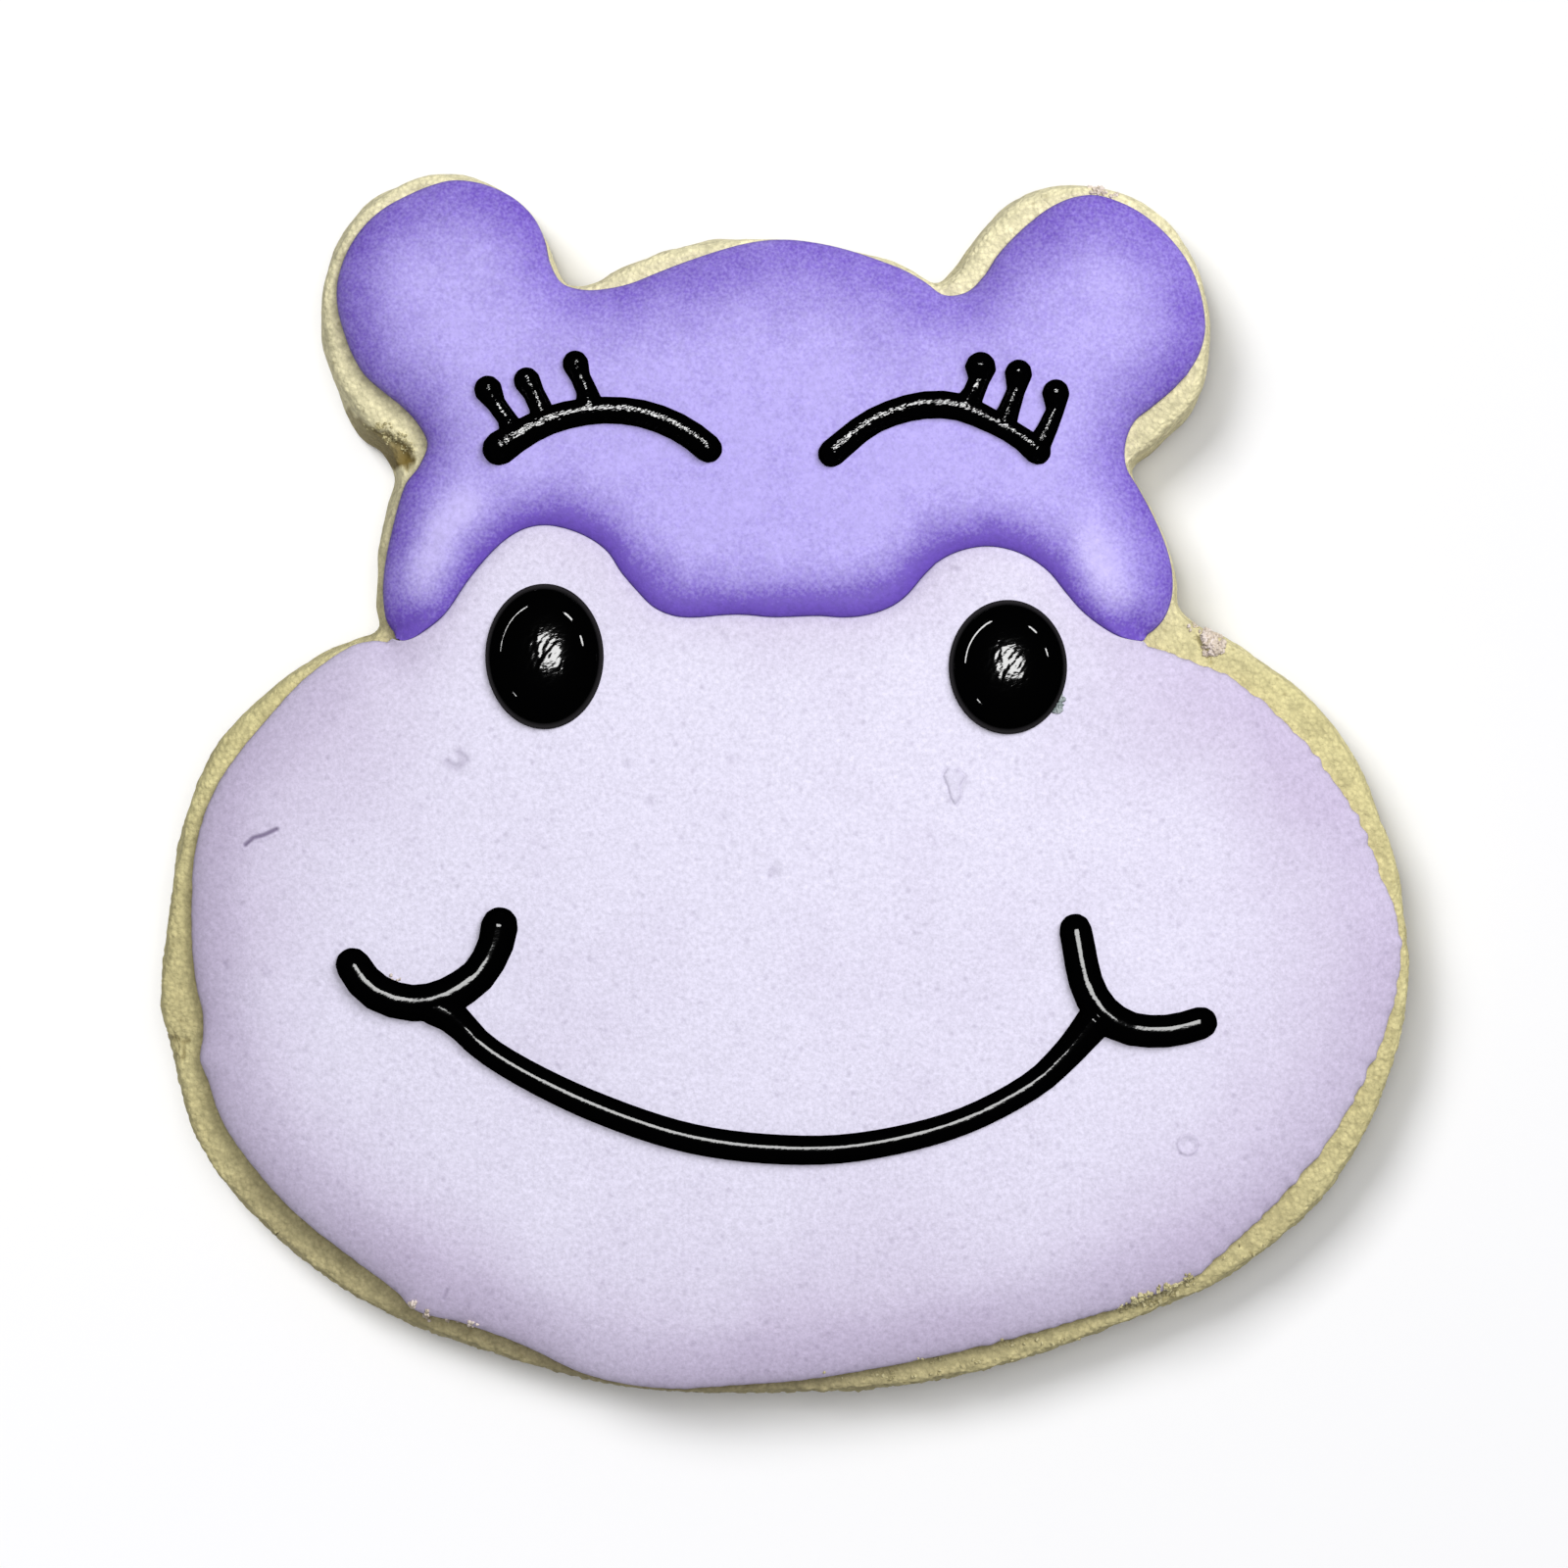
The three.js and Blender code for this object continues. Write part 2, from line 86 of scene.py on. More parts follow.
# Points of a row are left out where they are nearer to the rim than this share of its inset
ROW_ROOM = 0.93
ICING_GRID = 0.3
FLAW_GRID = 0.09
BISCUIT_COLUMN = 0.27
BISCUIT_GRID = 0.3
COARSE_GRID = 2.5
UNDERSIDE_GRID = 0.9
PIPED_VOXEL = 0.085
# Points are handled in blocks of this many, to save memory
BLOCK = 4000


def in_photo(pixel, height):
    """Where a pixel of the photograph lies on a level surface at a height."""
    span = (CAMERA_DISTANCE + CAMERA_AIM.z - height) * SENSOR / LENS / PHOTO_SIDE
    half = PHOTO_SIDE / 2
    return np.array([CAMERA_AIM.x + (pixel[0] - half) * span, CAMERA_AIM.y + (half - pixel[1]) * span])


def triangles_of(node):
    """A node's triangles, in millimetres."""
    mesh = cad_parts[node].data
    mesh.calc_loop_triangles()
    corners = np.empty(len(mesh.vertices) * 3)
    mesh.vertices.foreach_get("co", corners)
    index = np.empty(len(mesh.loop_triangles) * 3, int)
    mesh.loop_triangles.foreach_get("vertices", index)
    return corners.reshape(-1, 3)[index].reshape(-1, 3, 3) / MM


def cut_edges(triangle, height):
    """The edge that a triangle goes down through a height by, and the one that it comes up by."""
    down = up = None
    for a, b in ((0, 1), (1, 2), (2, 0)):
        if triangle[a, 2] > height >= triangle[b, 2]:
            down = (triangle[a], triangle[b])
        if triangle[b, 2] > height >= triangle[a, 2]:
            up = (triangle[b], triangle[a])
    return down, up


def section(node, height):
    """The outline of a node at a height, anticlockwise."""
    ahead, places = {}, {}
    for triangle in triangles_of(node):
        down, up = cut_edges(triangle, height)
        if down is None:
            continue
        keys = [tuple(np.concatenate(edge)) for edge in (down, up)]
        for key, (high, low) in zip(keys, (down, up)):
            share = (height - low[2]) / (high[2] - low[2])
            places[key] = (low + share * (high - low))[:2]
        ahead[keys[0]] = keys[1]
    loops = []
    while ahead:
        key = next(iter(ahead))
        loop = []
        while key in ahead:
            loop.append(places[key])
            key = ahead.pop(key)
        loops.append(loop)
    return without_near_points(np.array(max(loops, key=len)), SECTION_STEP)


def without_near_points(line, least):
    """A line without the points that are nearer to the one before than the least distance."""
    kept = [line[0]]
    for point in line[1:]:
        if np.linalg.norm(point - kept[-1]) > least:
            kept.append(point)
    return np.array(kept)


def evenly(line, step):
    """A closed line stepped again at even lengths."""
    closed = np.vstack([line, line[:1]])
    along = np.concatenate([[0], np.cumsum(np.linalg.norm(np.diff(closed, axis=0), axis=1))])
    places = np.linspace(0, along[-1], max(8, round(along[-1] / step)), endpoint=False)
    return np.column_stack([np.interp(places, along, closed[:, axis]) for axis in (0, 1)])


def smooth_loop(line, step):
    """A smooth closed line through the points of another, evenly stepped."""
    before, after, later = (np.roll(line, shift, 0) for shift in (1, -1, -2))
    share = np.linspace(0, 1, SPLINE_STEPS, endpoint=False)[:, None, None]
    fine = line + 0.5 * (
        (after - before) * share
        + (2 * before - 5 * line + 4 * after - later) * share**2
        + (3 * line - before - 3 * after + later) * share**3
    )
    return evenly(fine.transpose(1, 0, 2).reshape(-1, 2), step)


def outwards(line, spread=1):
    """Unit vectors out of an anticlockwise line."""
    along = np.roll(line, -spread, 0) - np.roll(line, spread, 0)
    normals = np.column_stack([along[:, 1], -along[:, 0]])
    return normals / np.linalg.norm(normals, axis=1)[:, None]


def tree_of(points):
    tree = KDTree(len(points))
    for number, (x, y) in enumerate(points):
        tree.insert((x, y, 0), number)
    tree.balance()
    return tree


def distances(points, tree):
    return np.array([tree.find((x, y, 0))[2] for x, y in points])


def grid_inside(loop, step):
    """The points of a triangular grid that lie inside a closed line."""
    ahead = np.roll(loop, -1, 0)
    low, high = loop.min(0), loop.max(0)
    rows = []
    for number, y in enumerate(np.arange(low[1], high[1], step * math.sqrt(3) / 2)):
        spans = (loop[:, 1] > y) != (ahead[:, 1] > y)
        share = (y - loop[spans, 1]) / (ahead[spans, 1] - loop[spans, 1])
        crossings = np.sort(loop[spans, 0] + share * (ahead[spans, 0] - loop[spans, 0]))
        x = np.arange(low[0] + step / 2 * (number % 2), high[0], step)
        x = x[np.searchsorted(crossings, x) % 2 == 1]
        rows.append(np.column_stack([x, np.full(len(x), y)]))
    return np.vstack(rows)


def inner_rows(loop, insets, tree):
    """Rows of points that follow a closed line at distances in from it, where there is room for them."""
    normals = outwards(loop, 2)
    rows = []
    for inset in insets:
        row = loop - normals * inset
        rows.append(row[distances(row, tree) > inset * ROW_ROOM])
    return np.vstack(rows)


def is_inside(points, loop):
    """Which points lie inside a closed line."""
    ahead = np.roll(loop, -1, 0)
    x, y = points[:, :1], points[:, 1:]
    spans = (loop[:, 1] > y) != (ahead[:, 1] > y)
    rise = np.where(ahead[:, 1] == loop[:, 1], 1, ahead[:, 1] - loop[:, 1])
    crossing = loop[:, 0] + (y - loop[:, 1]) / rise * (ahead[:, 0] - loop[:, 0])
    return (spans & (crossing > x)).sum(1) % 2 == 1


def fill(loop, inner):
    """Triangles facing up, over a closed line and the points within it, numbered after the line's own."""
    points = np.vstack([loop, inner])
    count = len(loop)
    edges = [(i, (i + 1) % count) for i in range(count)]
    result = delaunay_2d_cdt([Vector(p) for p in points], edges, [], 1, 1e-6, True)
    source = np.array([ids[0] for ids in result[3]])
    index = source[np.array(result[2])]
    bridges = np.flatnonzero((index < count).all(1))
    outside = bridges[~is_inside(points[index[bridges]].mean(1), loop)]
    index = np.delete(index, outside, 0)
    a, b, c = (points[index[:, k]] for k in range(3))
    ahead, beside = b - a, c - a
    area = ahead[:, 0] * beside[:, 1] - ahead[:, 1] * beside[:, 0]
    index[area < 0] = index[area < 0][:, ::-1]
    return index


def band(lower, upper, count):
    """Quads between two rings, numbered from their first points."""
    i = np.arange(count)
    after = (i + 1) % count
    return np.column_stack([lower + i, lower + after, upper + after, upper + i])


def new_object(name, data):
    item = bpy.data.objects.new(name, data)
    bpy.context.scene.collection.objects.link(item)
    return item


def make_mesh(name, points, faces, attributes):
    """A smooth-shaded object from points in millimetres, with a value at each point for each attribute."""
    mesh = bpy.data.meshes.new(name)
    mesh.from_pydata((np.asarray(points) * MM).tolist(), [], [list(map(int, face)) for face in faces])
    mesh.shade_smooth()
    for key, values in attributes.items():
        layer = mesh.attributes.new(key, "FLOAT", "POINT")
        layer.data.foreach_set("value", np.asarray(values, np.float32))
    mesh.update()
    return new_object(name, mesh)


def ripple(points, wavelength, seed=0.0):
    """Smooth noise between about -1 and 1 at each point."""
    shift = Vector((seed, 0, 0))
    return np.array([noise.noise(Vector(p) / wavelength + shift) for p in points])


def as_3d(points, height=0.0):
    return np.column_stack([points, np.full(len(points), height)])


# Icing


def meeting_rims(first, second):
    """Two rims, moved to meet halfway where they run close to each other, and where each one does."""
    moved = []
    for rim, other in ((first, second), (second, first)):
        tree = tree_of(other)
        found = [tree.find((x, y, 0)) for x, y in rim]
        nearest = np.array([place[:2] for place, _, _ in found])
        gap = np.array([length for _, _, length in found])
        share = 0.5 * (1 - JOINT_GAP / np.maximum(gap, JOINT_GAP))
        joint = gap < JOINT_REACH
        moved.append((np.where(joint[:, None], rim + (nearest - rim) * share[:, None], rim), joint))
    return moved


def shoulder(distance, lip, reach):
    """Height of icing above the biscuit, at a distance in from its edge."""
    short = 1 - np.clip(distance / reach, 0, 1)
    return lip + (ICING_THICK - lip) * np.sqrt(1 - short**2)


def soft_min(a, b, blend):
    """The smaller of two heights, rounded where they cross."""
    share = np.clip(0.5 + (b - a) / (2 * blend), 0, 1)
    return b + (a - b) * share - blend * share * (1 - share)


def icing_height(points, free_tree, joint_tree):
    """Height of the icing at each point, rounded down to its free edge and, less, to the other icing."""
    free = shoulder(distances(points, free_tree), FREE_LIP, FREE_SHOULDER)
    joint = shoulder(distances(points, joint_tree), JOINT_LIP, JOINT_SHOULDER)
    return BISCUIT_TOP + soft_min(free, joint, SHOULDER_BLEND)


def sprayed(points, passes):
    """How much airbrush colour lands on each point; the same sums give the painted shade on the lilac icing
    and the painted sheen on the violet.

    A pass is the places along it, the step between them, the amount and how far it spreads.
    """
    total = np.zeros(len(points))
    for places, step, amount, spread in passes:
        dose = amount * step / (spread * math.sqrt(2 * math.pi))
        for block in range(0, len(points), BLOCK):
            part = points[block:block + BLOCK]
            apart = ((part[:, None] - places[None]) ** 2).sum(2)
            total[block:block + BLOCK] += dose * np.exp(-apart / (2 * spread**2)).sum(1)
    return total


class Icing:
    """One flooded icing: its rim and its points, before they are made into a mesh."""

    def __init__(self, rim, joint):
        self.rim = rim
        self.free_tree = tree_of(rim[~joint])
        self.joint_tree = tree_of(rim[joint])
        whole = tree_of(rim)
        rows = inner_rows(rim, RIM_ROWS, whole)
        grid = grid_inside(rim, ICING_GRID)
        grid = grid[distances(grid, whole) > RIM_CLEAR]
        self.inner = np.vstack([rows, grid])

    def refine(self, centre, radius):
        """Closer points round a flaw."""
        near = np.linalg.norm(self.inner - centre, axis=1) < radius
        angles = np.linspace(0, 2 * math.pi, 48, endpoint=False)
        ring = centre + radius * np.column_stack([np.cos(angles), np.sin(angles)])
        self.inner = np.vstack([self.inner[~near], grid_inside(ring, FLAW_GRID)])

    def make(self, name, relief, attributes):
        """The icing's mesh, from what its relief and its attributes are at given points."""
        points = np.vstack([self.rim, self.inner])
        heights = icing_height(points, self.free_tree, self.joint_tree) + relief(points)
        count = len(self.rim)
        top = fill(self.rim, self.inner)
        under = fill(self.rim, np.empty((0, 2)))[:, ::-1] + len(points)
        skirt = as_3d(self.rim, BISCUIT_TOP - ICING_SKIRT)
        faces = [*top, *under, *band(len(points), 0, count)]
        layers = attributes(points)
        layers = {key: np.concatenate([values, values[:count]]) for key, values in layers.items()}
        return make_mesh(name, np.vstack([np.column_stack([points, heights]), skirt]), faces, layers)


# Flaws of the icings, by their pixels in the photograph
SCRATCH = ((250, 862), (258, 855), (269, 852), (282, 846))
SMUDGE = ((456, 778), (466, 783), (475, 775), (468, 768))
TICKS = (
    ((452, 1326), (456, 1317)),
    ((966, 576), (977, 581)),
    ((229, 980), (231, 990)),
    ((268, 985), (272, 996)),
)
FLAKE = (
    (966, 784), (962, 791), (967, 803), (970, 815), (975, 822),
    (981, 812), (980, 801), (985, 793), (978, 785),
)
# A small peak of icing on the left ear
EAR_PEAK = ((448, 222), (452, 219), (456, 222), (461, 219))
EAR_PEAK_WIDTH = 0.2
EAR_PEAK_HEIGHT = 0.09
# Flaws along a line: the pixels, how wide and how deep it is, and how wide and how dark its mark is, which
# is dirt on the smudge and inside the flake and painted shade in the grooves of the scratch, the ticks and
# the flake's edge
LINE_FLAWS = (
    (SCRATCH, 0.13, 0.14, 0.13, 1.1),
    (SMUDGE, 0.2, 0.05, 0.36, 0.34),
    (FLAKE, 0.1, 0.05, 0.14, 0.16),
    *((tick, 0.13, 0.07, 0.12, 0.4) for tick in TICKS),
)
# The scratch throws up a lip beside it, and the flake stands up within its line
LIP_SHIFT = np.array([-0.1, -0.28])
LIP_WIDTH = 0.15
LIP_HEIGHT = 0.05
FLAKE_HEIGHT = 0.05
FLAKE_DARK = 0.09
# Dents: the pixel, how wide it is and how deep
DENTS = (
    ((640, 780), 0.35, 0.05), ((745, 775), 0.35, 0.05), ((785, 893), 0.25, 0.04),
    ((738, 835), 0.3, 0.04), ((663, 818), 0.4, 0.05), ((790, 890), 0.5, 0.05),
    ((1204, 1178), 0.13, 0.05), ((1214, 1164), 0.12, 0.05),
)
# Painted shade in the dents
DENT_DARK = 0.3
# A burst bubble: a low ring round a shallow pit
BUBBLE = (1212, 1168)
BUBBLE_RADIUS = 0.66
BUBBLE_RING = 0.12
BUBBLE_PIT = 0.42
BUBBLE_HEIGHT = 0.05
# Painted shade just outside the bubble's ring
BUBBLE_DARK = 0.22


def along_line(points, line):
    """How far each point is from an open line, and how far along the line that is, from 0 to 1."""
    best, place = np.full(len(points), 1e9), np.zeros(len(points))
    for number, (a, b) in enumerate(zip(line[:-1], line[1:])):
        along = b - a
        share = np.clip((points - a) @ along / (along @ along), 0, 1)
        apart = np.linalg.norm(points - a - share[:, None] * along, axis=1)
        place = np.where(apart < best, (number + share) / (len(line) - 1), place)
        best = np.minimum(best, apart)
    return best, place


def near_line(points, line):
    return along_line(points, line)[0]


def bump(distance, width):
    return np.exp(-((distance / width) ** 2))


def on_icing(pixels):
    return np.array([in_photo(pixel, ICING_TOP) for pixel in pixels])


def waves(points, depth, length, seed, fine_seed):
    """How far the icing is sunk by waves of a depth and length, and by finer ones that all icing has."""
    flat = as_3d(points)
    return depth * (1 + ripple(flat, length, seed)) + 0.012 * (1 + ripple(flat, 2.4, fine_seed))


def from_pixel(points, pixel):
    return np.linalg.norm(points - in_photo(pixel, ICING_TOP), axis=1)


def lilac_relief(points):
    """How far the lilac icing stands above its even form at each point."""
    relief = -waves(points, 0.035, 9, 3.1, 7.7)
    for pixels, width, depth, _, _ in LINE_FLAWS:
        relief -= depth * bump(near_line(points, on_icing(pixels)), width)
    relief += LIP_HEIGHT * bump(near_line(points, on_icing(SCRATCH) + LIP_SHIFT), LIP_WIDTH)
    relief += FLAKE_HEIGHT * is_inside(points, on_icing(FLAKE)[::-1])
    for pixel, width, depth in DENTS:
        relief -= depth * bump(from_pixel(points, pixel), width)
    away = from_pixel(points, BUBBLE)
    relief += BUBBLE_HEIGHT * (bump(away - BUBBLE_RADIUS, BUBBLE_RING) - bump(away, BUBBLE_PIT))
    return relief


def violet_relief(points):
    """How far the violet icing stands above its even form at each point."""
    peak = EAR_PEAK_HEIGHT * bump(near_line(points, on_icing(EAR_PEAK)), EAR_PEAK_WIDTH)
    return peak - waves(points, 0.05, 8, 5.3, 1.9)


def lilac_smudges_and_groove_shade(points):
    """Where the lilac icing is smudged or flaked, with painted shade in its scratch, ticks and dents and
    round its bubble.
    """
    smudges_and_groove_shade = FLAKE_DARK * is_inside(points, on_icing(FLAKE)[::-1])
    for pixels, _, _, width, dark in LINE_FLAWS:
        smudges_and_groove_shade += dark * bump(near_line(points, on_icing(pixels)), width)
    for pixel, width, _ in DENTS:
        smudges_and_groove_shade += DENT_DARK * bump(from_pixel(points, pixel), width * 0.7)
    ring = bump(from_pixel(points, BUBBLE) - BUBBLE_RADIUS * 1.1, 0.1)
    return np.clip(smudges_and_groove_shade + BUBBLE_DARK * ring, 0, 1)


# Where the airbrush was used: the crown between the ears, the lobes below them, and the brow between those
CROWN_HALF_WIDTH = 17
LOBE_TOP = 24
LOBE_FROM = 21
LOBE_TIPS = ((405, 640), (418, 631), (430, 620), (1165, 645), (1152, 635), (1140, 625))
# The painted sheen down the lobes: pale streaks where the airbrush's colour is taken away and a paler violet
# mixed in
LOBE_SHEEN = ((430, 600), (438, 570), (450, 541), (472, 517), (1112, 556), (1124, 583), (1138, 610))
SPRAY_STEP = 0.75
# How far the lilac icing's free rim bulges
RAGGED = 0.3


def ragged(rim, joint):
    """A rim with small uneven bulges where it is free, which are larger to the right."""
    away = np.clip(distances(rim, tree_of(rim[joint])) / 3, 0, 1)
    amount = RAGGED * away * np.clip((rim[:, 0] - 5) / 20, 0.2, 1)
    shift = 0.65 * ripple(as_3d(rim), 0.9, 3.3) + 0.35 * ripple(as_3d(rim), 0.5, 7.7)
    return rim + outwards(rim) * (amount * shift)[:, None]


def violet_passes(brow, free):
    """The airbrush's passes over the violet icing, along its brow and its free rim, and passes of painted
    sheen that lighten the lobes.
    """
    outer = np.abs(free[:, 0]) > CROWN_HALF_WIDTH
    high = free[:, 1] > LOBE_TOP
    brow_outer = np.abs(brow[:, 0]) > LOBE_FROM
    return [
        (brow[~brow_outer], SPRAY_STEP, 1.18, 1.95),
        (brow[brow_outer], SPRAY_STEP, 0.85, 1.5),
        (free[outer & high], SPRAY_STEP, 0.68, 2.4),
        (free[outer & ~high], SPRAY_STEP, 0.78, 2.0),
        (free[~outer], SPRAY_STEP, 0.62, 3.6),
        (free[high], SPRAY_STEP, 0.06, 6),
        (on_icing(LOBE_TIPS), 1.0, 0.2, 1.8),
        # Painted sheen: a pass with a negative amount lightens the streaks down the lobes
        (on_icing(LOBE_SHEEN), 1.0, -0.95, 1.15),
    ]


def make_icings():
    """The lilac and the violet icing, and both their rims."""
    nodes = ("muzzle_icing", "head_icing")
    rims = [smooth_loop(section(node, BISCUIT_TOP + 0.01), RIM_STEP) for node in nodes]
    (muzzle_rim, muzzle_joint), (head_rim, head_joint) = meeting_rims(*rims)
    muzzle_rim = ragged(muzzle_rim, muzzle_joint)
    muzzle = Icing(muzzle_rim, muzzle_joint)
    head = Icing(head_rim, head_joint)
    for flaw, reach in ((SCRATCH, 1.7), (SMUDGE, 1.1), (FLAKE, 1.8), ((BUBBLE,), 1.3), (TICKS[0], 0.8)):
        muzzle.refine(on_icing(flaw).mean(0), reach)
    head.refine(on_icing(EAR_PEAK).mean(0), 1.0)
    brow = evenly_open(head_rim[head_joint], SPRAY_STEP)
    violet_airbrush_and_sheen = violet_passes(brow, evenly_open(head_rim[~head_joint], SPRAY_STEP))
    muzzle_free = evenly_open(muzzle_rim[~muzzle_joint], SPRAY_STEP)
    # Overspray and painted shade: the lilac is darkened towards its free rim and along the brow
    lilac_overspray_and_shade = [(muzzle_free, SPRAY_STEP, 0.95, 5.1), (brow, SPRAY_STEP, 0.42, 2.0)]

    def violet_layers(points):
        return {
            "airbrush_and_painted_light": sprayed(points, violet_airbrush_and_sheen),
            # Painted sheen: how far the lobes' streaks are mixed towards a paler violet
            "pale": sprayed(points, [(on_icing(LOBE_SHEEN), 1.0, 1.3, 1.0)]),
        }

    def lilac_layers(points):
        return {"airbrush_and_painted_light": sprayed(points, lilac_overspray_and_shade), "smudges_and_groove_shade": lilac_smudges_and_groove_shade(points)}

    lilac = muzzle.make("lilac_flood_icing", lilac_relief, lilac_layers)
    violet = head.make("violet_flood_icing", violet_relief, violet_layers)
    return lilac, violet, (muzzle_rim, head_rim)


def evenly_open(line, step):
    """Points picked along a line about a step apart."""
    stride = max(1, round(step / RIM_STEP))
    return line[::stride]


# Biscuit

# Heights at which the biscuit's outline is read from the frame, and which of them is the widest
READ_HEIGHTS = (0.02, 0.6, 1.6, 3.8, 5.3, 5.85, 5.985)
WIDEST = 2
# Heights of the rows of points up the side, and how far in from the rim the top's rows and grid reach
SIDE_ROWS = np.concatenate([[0, 0.12, 0.3], np.arange(0.55, 5.5, 0.27), [5.6, 5.75, 5.88, 5.96, 6.0]])
LEDGE_ROWS = (0.12, 0.3, 0.5, 0.75, 1.0)
LEDGE_WIDTH = 4.2
# Cracks in the dough, by their pixels
CRACKS = (
    ((160, 1052), (170, 1060), (178, 1057), (186, 1064), (192, 1062)),
    ((186, 1066), (188, 1076), (184, 1082)),
    ((176, 1058), (181, 1070), (178, 1080)),
    ((1221, 650), (1227, 660), (1231, 667), (1236, 676)),
)
# The dough round the edge, by pixel: how browned it is, with painted shade on the lower left and the bottom,
# and how far its top edge has sunk under the icing
DOUGH = (
    ((300, 250), 0.0, 0.1), ((450, 165), 0.0, 0.0), ((345, 370), 0.05, 0.3), ((400, 440), 0.1, 0.35),
    ((390, 560), 0.1, 0.2), ((250, 700), 0.0, 0.1), ((180, 950), 0.08, 0.25), ((165, 1100), 0.25, 0.5),
    ((290, 1310), 0.55, 0.9), ((450, 1370), 0.7, 0.9), ((640, 1405), 1.0, 0.9), ((800, 1408), 0.85, 0.8),
    ((950, 1395), 0.55, 0.6), ((1120, 1345), 0.4, 0.5), ((1300, 1270), 0.3, 0.3), ((1430, 1050), 0.1, 0.1),
    ((1410, 880), 0.05, 0.0), ((1240, 650), 0.05, 0.0), ((1230, 330), 0.15, 0.1), ((1130, 180), 0.0, 0.0),
)
# How far each place's state spreads, and how far down the edge has sunk where it has done so wholly
DOUGH_REACH = 5
SUNK_BY = 0.95
# The dough turns creamy and is painted lighter, as if lit more from above, from this far up the face, and
# wholly so this much further up
CREAM_AND_LIGHT_FROM = 7
CREAM_AND_LIGHT_REACH = 12
# The broken wall under the ear on the left: a line down it and half its width along that, in millimetres
WORN_WALL = ((354, 420), (366, 437), (381, 449), (396, 457), (407, 464), (416, 469))
WORN_HALF_WIDTH = (0.3, 0.65, 0.85, 1.05, 1.05, 0.65)
WORN_DEPTH = 1.0
# The baked surface's crags, grain and fine grain, each by its length in millimetres, depth and seed
CRAGS = (1.9, 0.07, 2.2)
GRAIN = (0.9, 0.06, 4.4)
FINE_GRAIN = (0.5, 0.05, 8.8)
# Its pores and the crevices between its granules, each by the size of the cells, depth and width in them
PORES = (2.1, 0.16, 0.17)
CREVICES = (0.95, 0.11, 0.3)
CRACK_DEPTH = 0.35
CRACK_WIDTH = 0.12
# From this height up the side's relief turns to face upwards
ROUND_FROM = 5.2


def inset_along(line, normals, other):
    """How far in along each normal another outline lies."""
    ahead = np.roll(other, -1, 0)
    insets = np.empty(len(line))
    for number, (p, n) in enumerate(zip(line, normals)):
        across = np.array([-n[1], n[0]])
        side = (other - p) @ across
        side_ahead = (ahead - p) @ across
        hits = (side > 0) != (side_ahead > 0)
        share = side[hits] / (side[hits] - side_ahead[hits])
        places = other[hits] + share[:, None] * (ahead[hits] - other[hits])
        depth = (p - places) @ n
        insets[number] = depth[np.argmin(np.abs(depth))]
    return insets


def smoothed(values, reach):
    """A closed row of numbers, each averaged with its neighbours."""
    kernel = np.hanning(2 * reach + 3)[1:-1]
    padded = np.concatenate([values[-reach:], values, values[:reach]])
    return np.convolve(padded, kernel / kernel.sum(), "valid")


def crumb_relief(points):
    """How far the baked dough is sunk at each point, all but the crags more so lower on the face."""
    coarse = np.clip(0.5 - points[:, 1] / 40, 0.2, 1.5)
    depth = np.zeros(len(points))
    for (length, most, seed), share in ((CRAGS, 1), (GRAIN, coarse), (FINE_GRAIN, coarse)):
        depth += most * share * (1 + ripple(points, length, seed))
    pore_cell, pore_depth, pore_width = PORES
    crevice_cell, crevice_depth, crevice_width = CREVICES
    for number, p in enumerate(points):
        pore = noise.voronoi(Vector(p) / pore_cell)[0][0]
        first, second = noise.voronoi(Vector(p) / crevice_cell)[0][:2]
        depth[number] += pore_depth * min(coarse[number], 1) * max(0.0, 1 - pore / pore_width) ** 0.5
        depth[number] += crevice_depth * coarse[number] * max(0.0, 1 - (second - first) / crevice_width)
    return depth


def cracked(points):
    """How far down in a crack each point is, from 0 to 1."""
    depth = np.zeros(len(points))
    for crack in CRACKS:
        line = np.array([in_photo(pixel, BISCUIT_TOP - 0.5) for pixel in crack])
        depth += bump(near_line(points[:, :2], line), CRACK_WIDTH)
    return np.clip(depth, 0, 1)


def worn_wall(points):
    """How broken away the biscuit is at each point, and how far along the break, both from 0 to 1."""
    flat = points[:, :2]
    apart, along = along_line(flat, np.array([in_photo(pixel, BISCUIT_TOP - 1) for pixel in WORN_WALL]))
    width = np.interp(along, np.linspace(0, 1, len(WORN_HALF_WIDTH)), WORN_HALF_WIDTH)
    ragged = 0.4 * ripple(as_3d(flat), 0.8, 6.1) + 0.25 * ripple(as_3d(flat), 0.4, 9.2)
    return np.clip((width - apart + ragged) / 0.2, 0, 1), along


def dough_state(points):
    """How browned the dough is at each point, with painted shade on the lower left and the bottom, and how
    far its top edge has sunk, both from 0 to 1.
    """
    places = np.array([in_photo(pixel, BISCUIT_TOP) for pixel, _, _ in DOUGH])
    states = np.array([state for _, *state in DOUGH])
    apart = ((points[:, None, :2] - places[None]) ** 2).sum(2)
    nearest = apart.min(1)[:, None]
    weight = np.exp(-(apart - nearest) / (2 * DOUGH_REACH**2))
    return (weight @ states / weight.sum(1)[:, None]).T


def under_icing(points, rims):
    """How far in from the icing's edge each point is, or 0 outside it."""
    depth = np.zeros(len(points))
    for rim in rims:
        tree = tree_of(rim)
        for block in range(0, len(points), BLOCK):
            numbers = block + np.flatnonzero(is_inside(points[block:block + BLOCK], rim))
            depth[numbers] = distances(points[numbers], tree)
    return depth


def side_points(line, normals, insets):
    """Rows of points up the biscuit's side."""
    rows = []
    for height in SIDE_ROWS:
        inset = np.array([np.interp(height, READ_HEIGHTS, column) for column in insets.T])
        rows.append(np.column_stack([line - normals * inset[:, None], np.full(len(line), height)]))
    return np.vstack(rows)


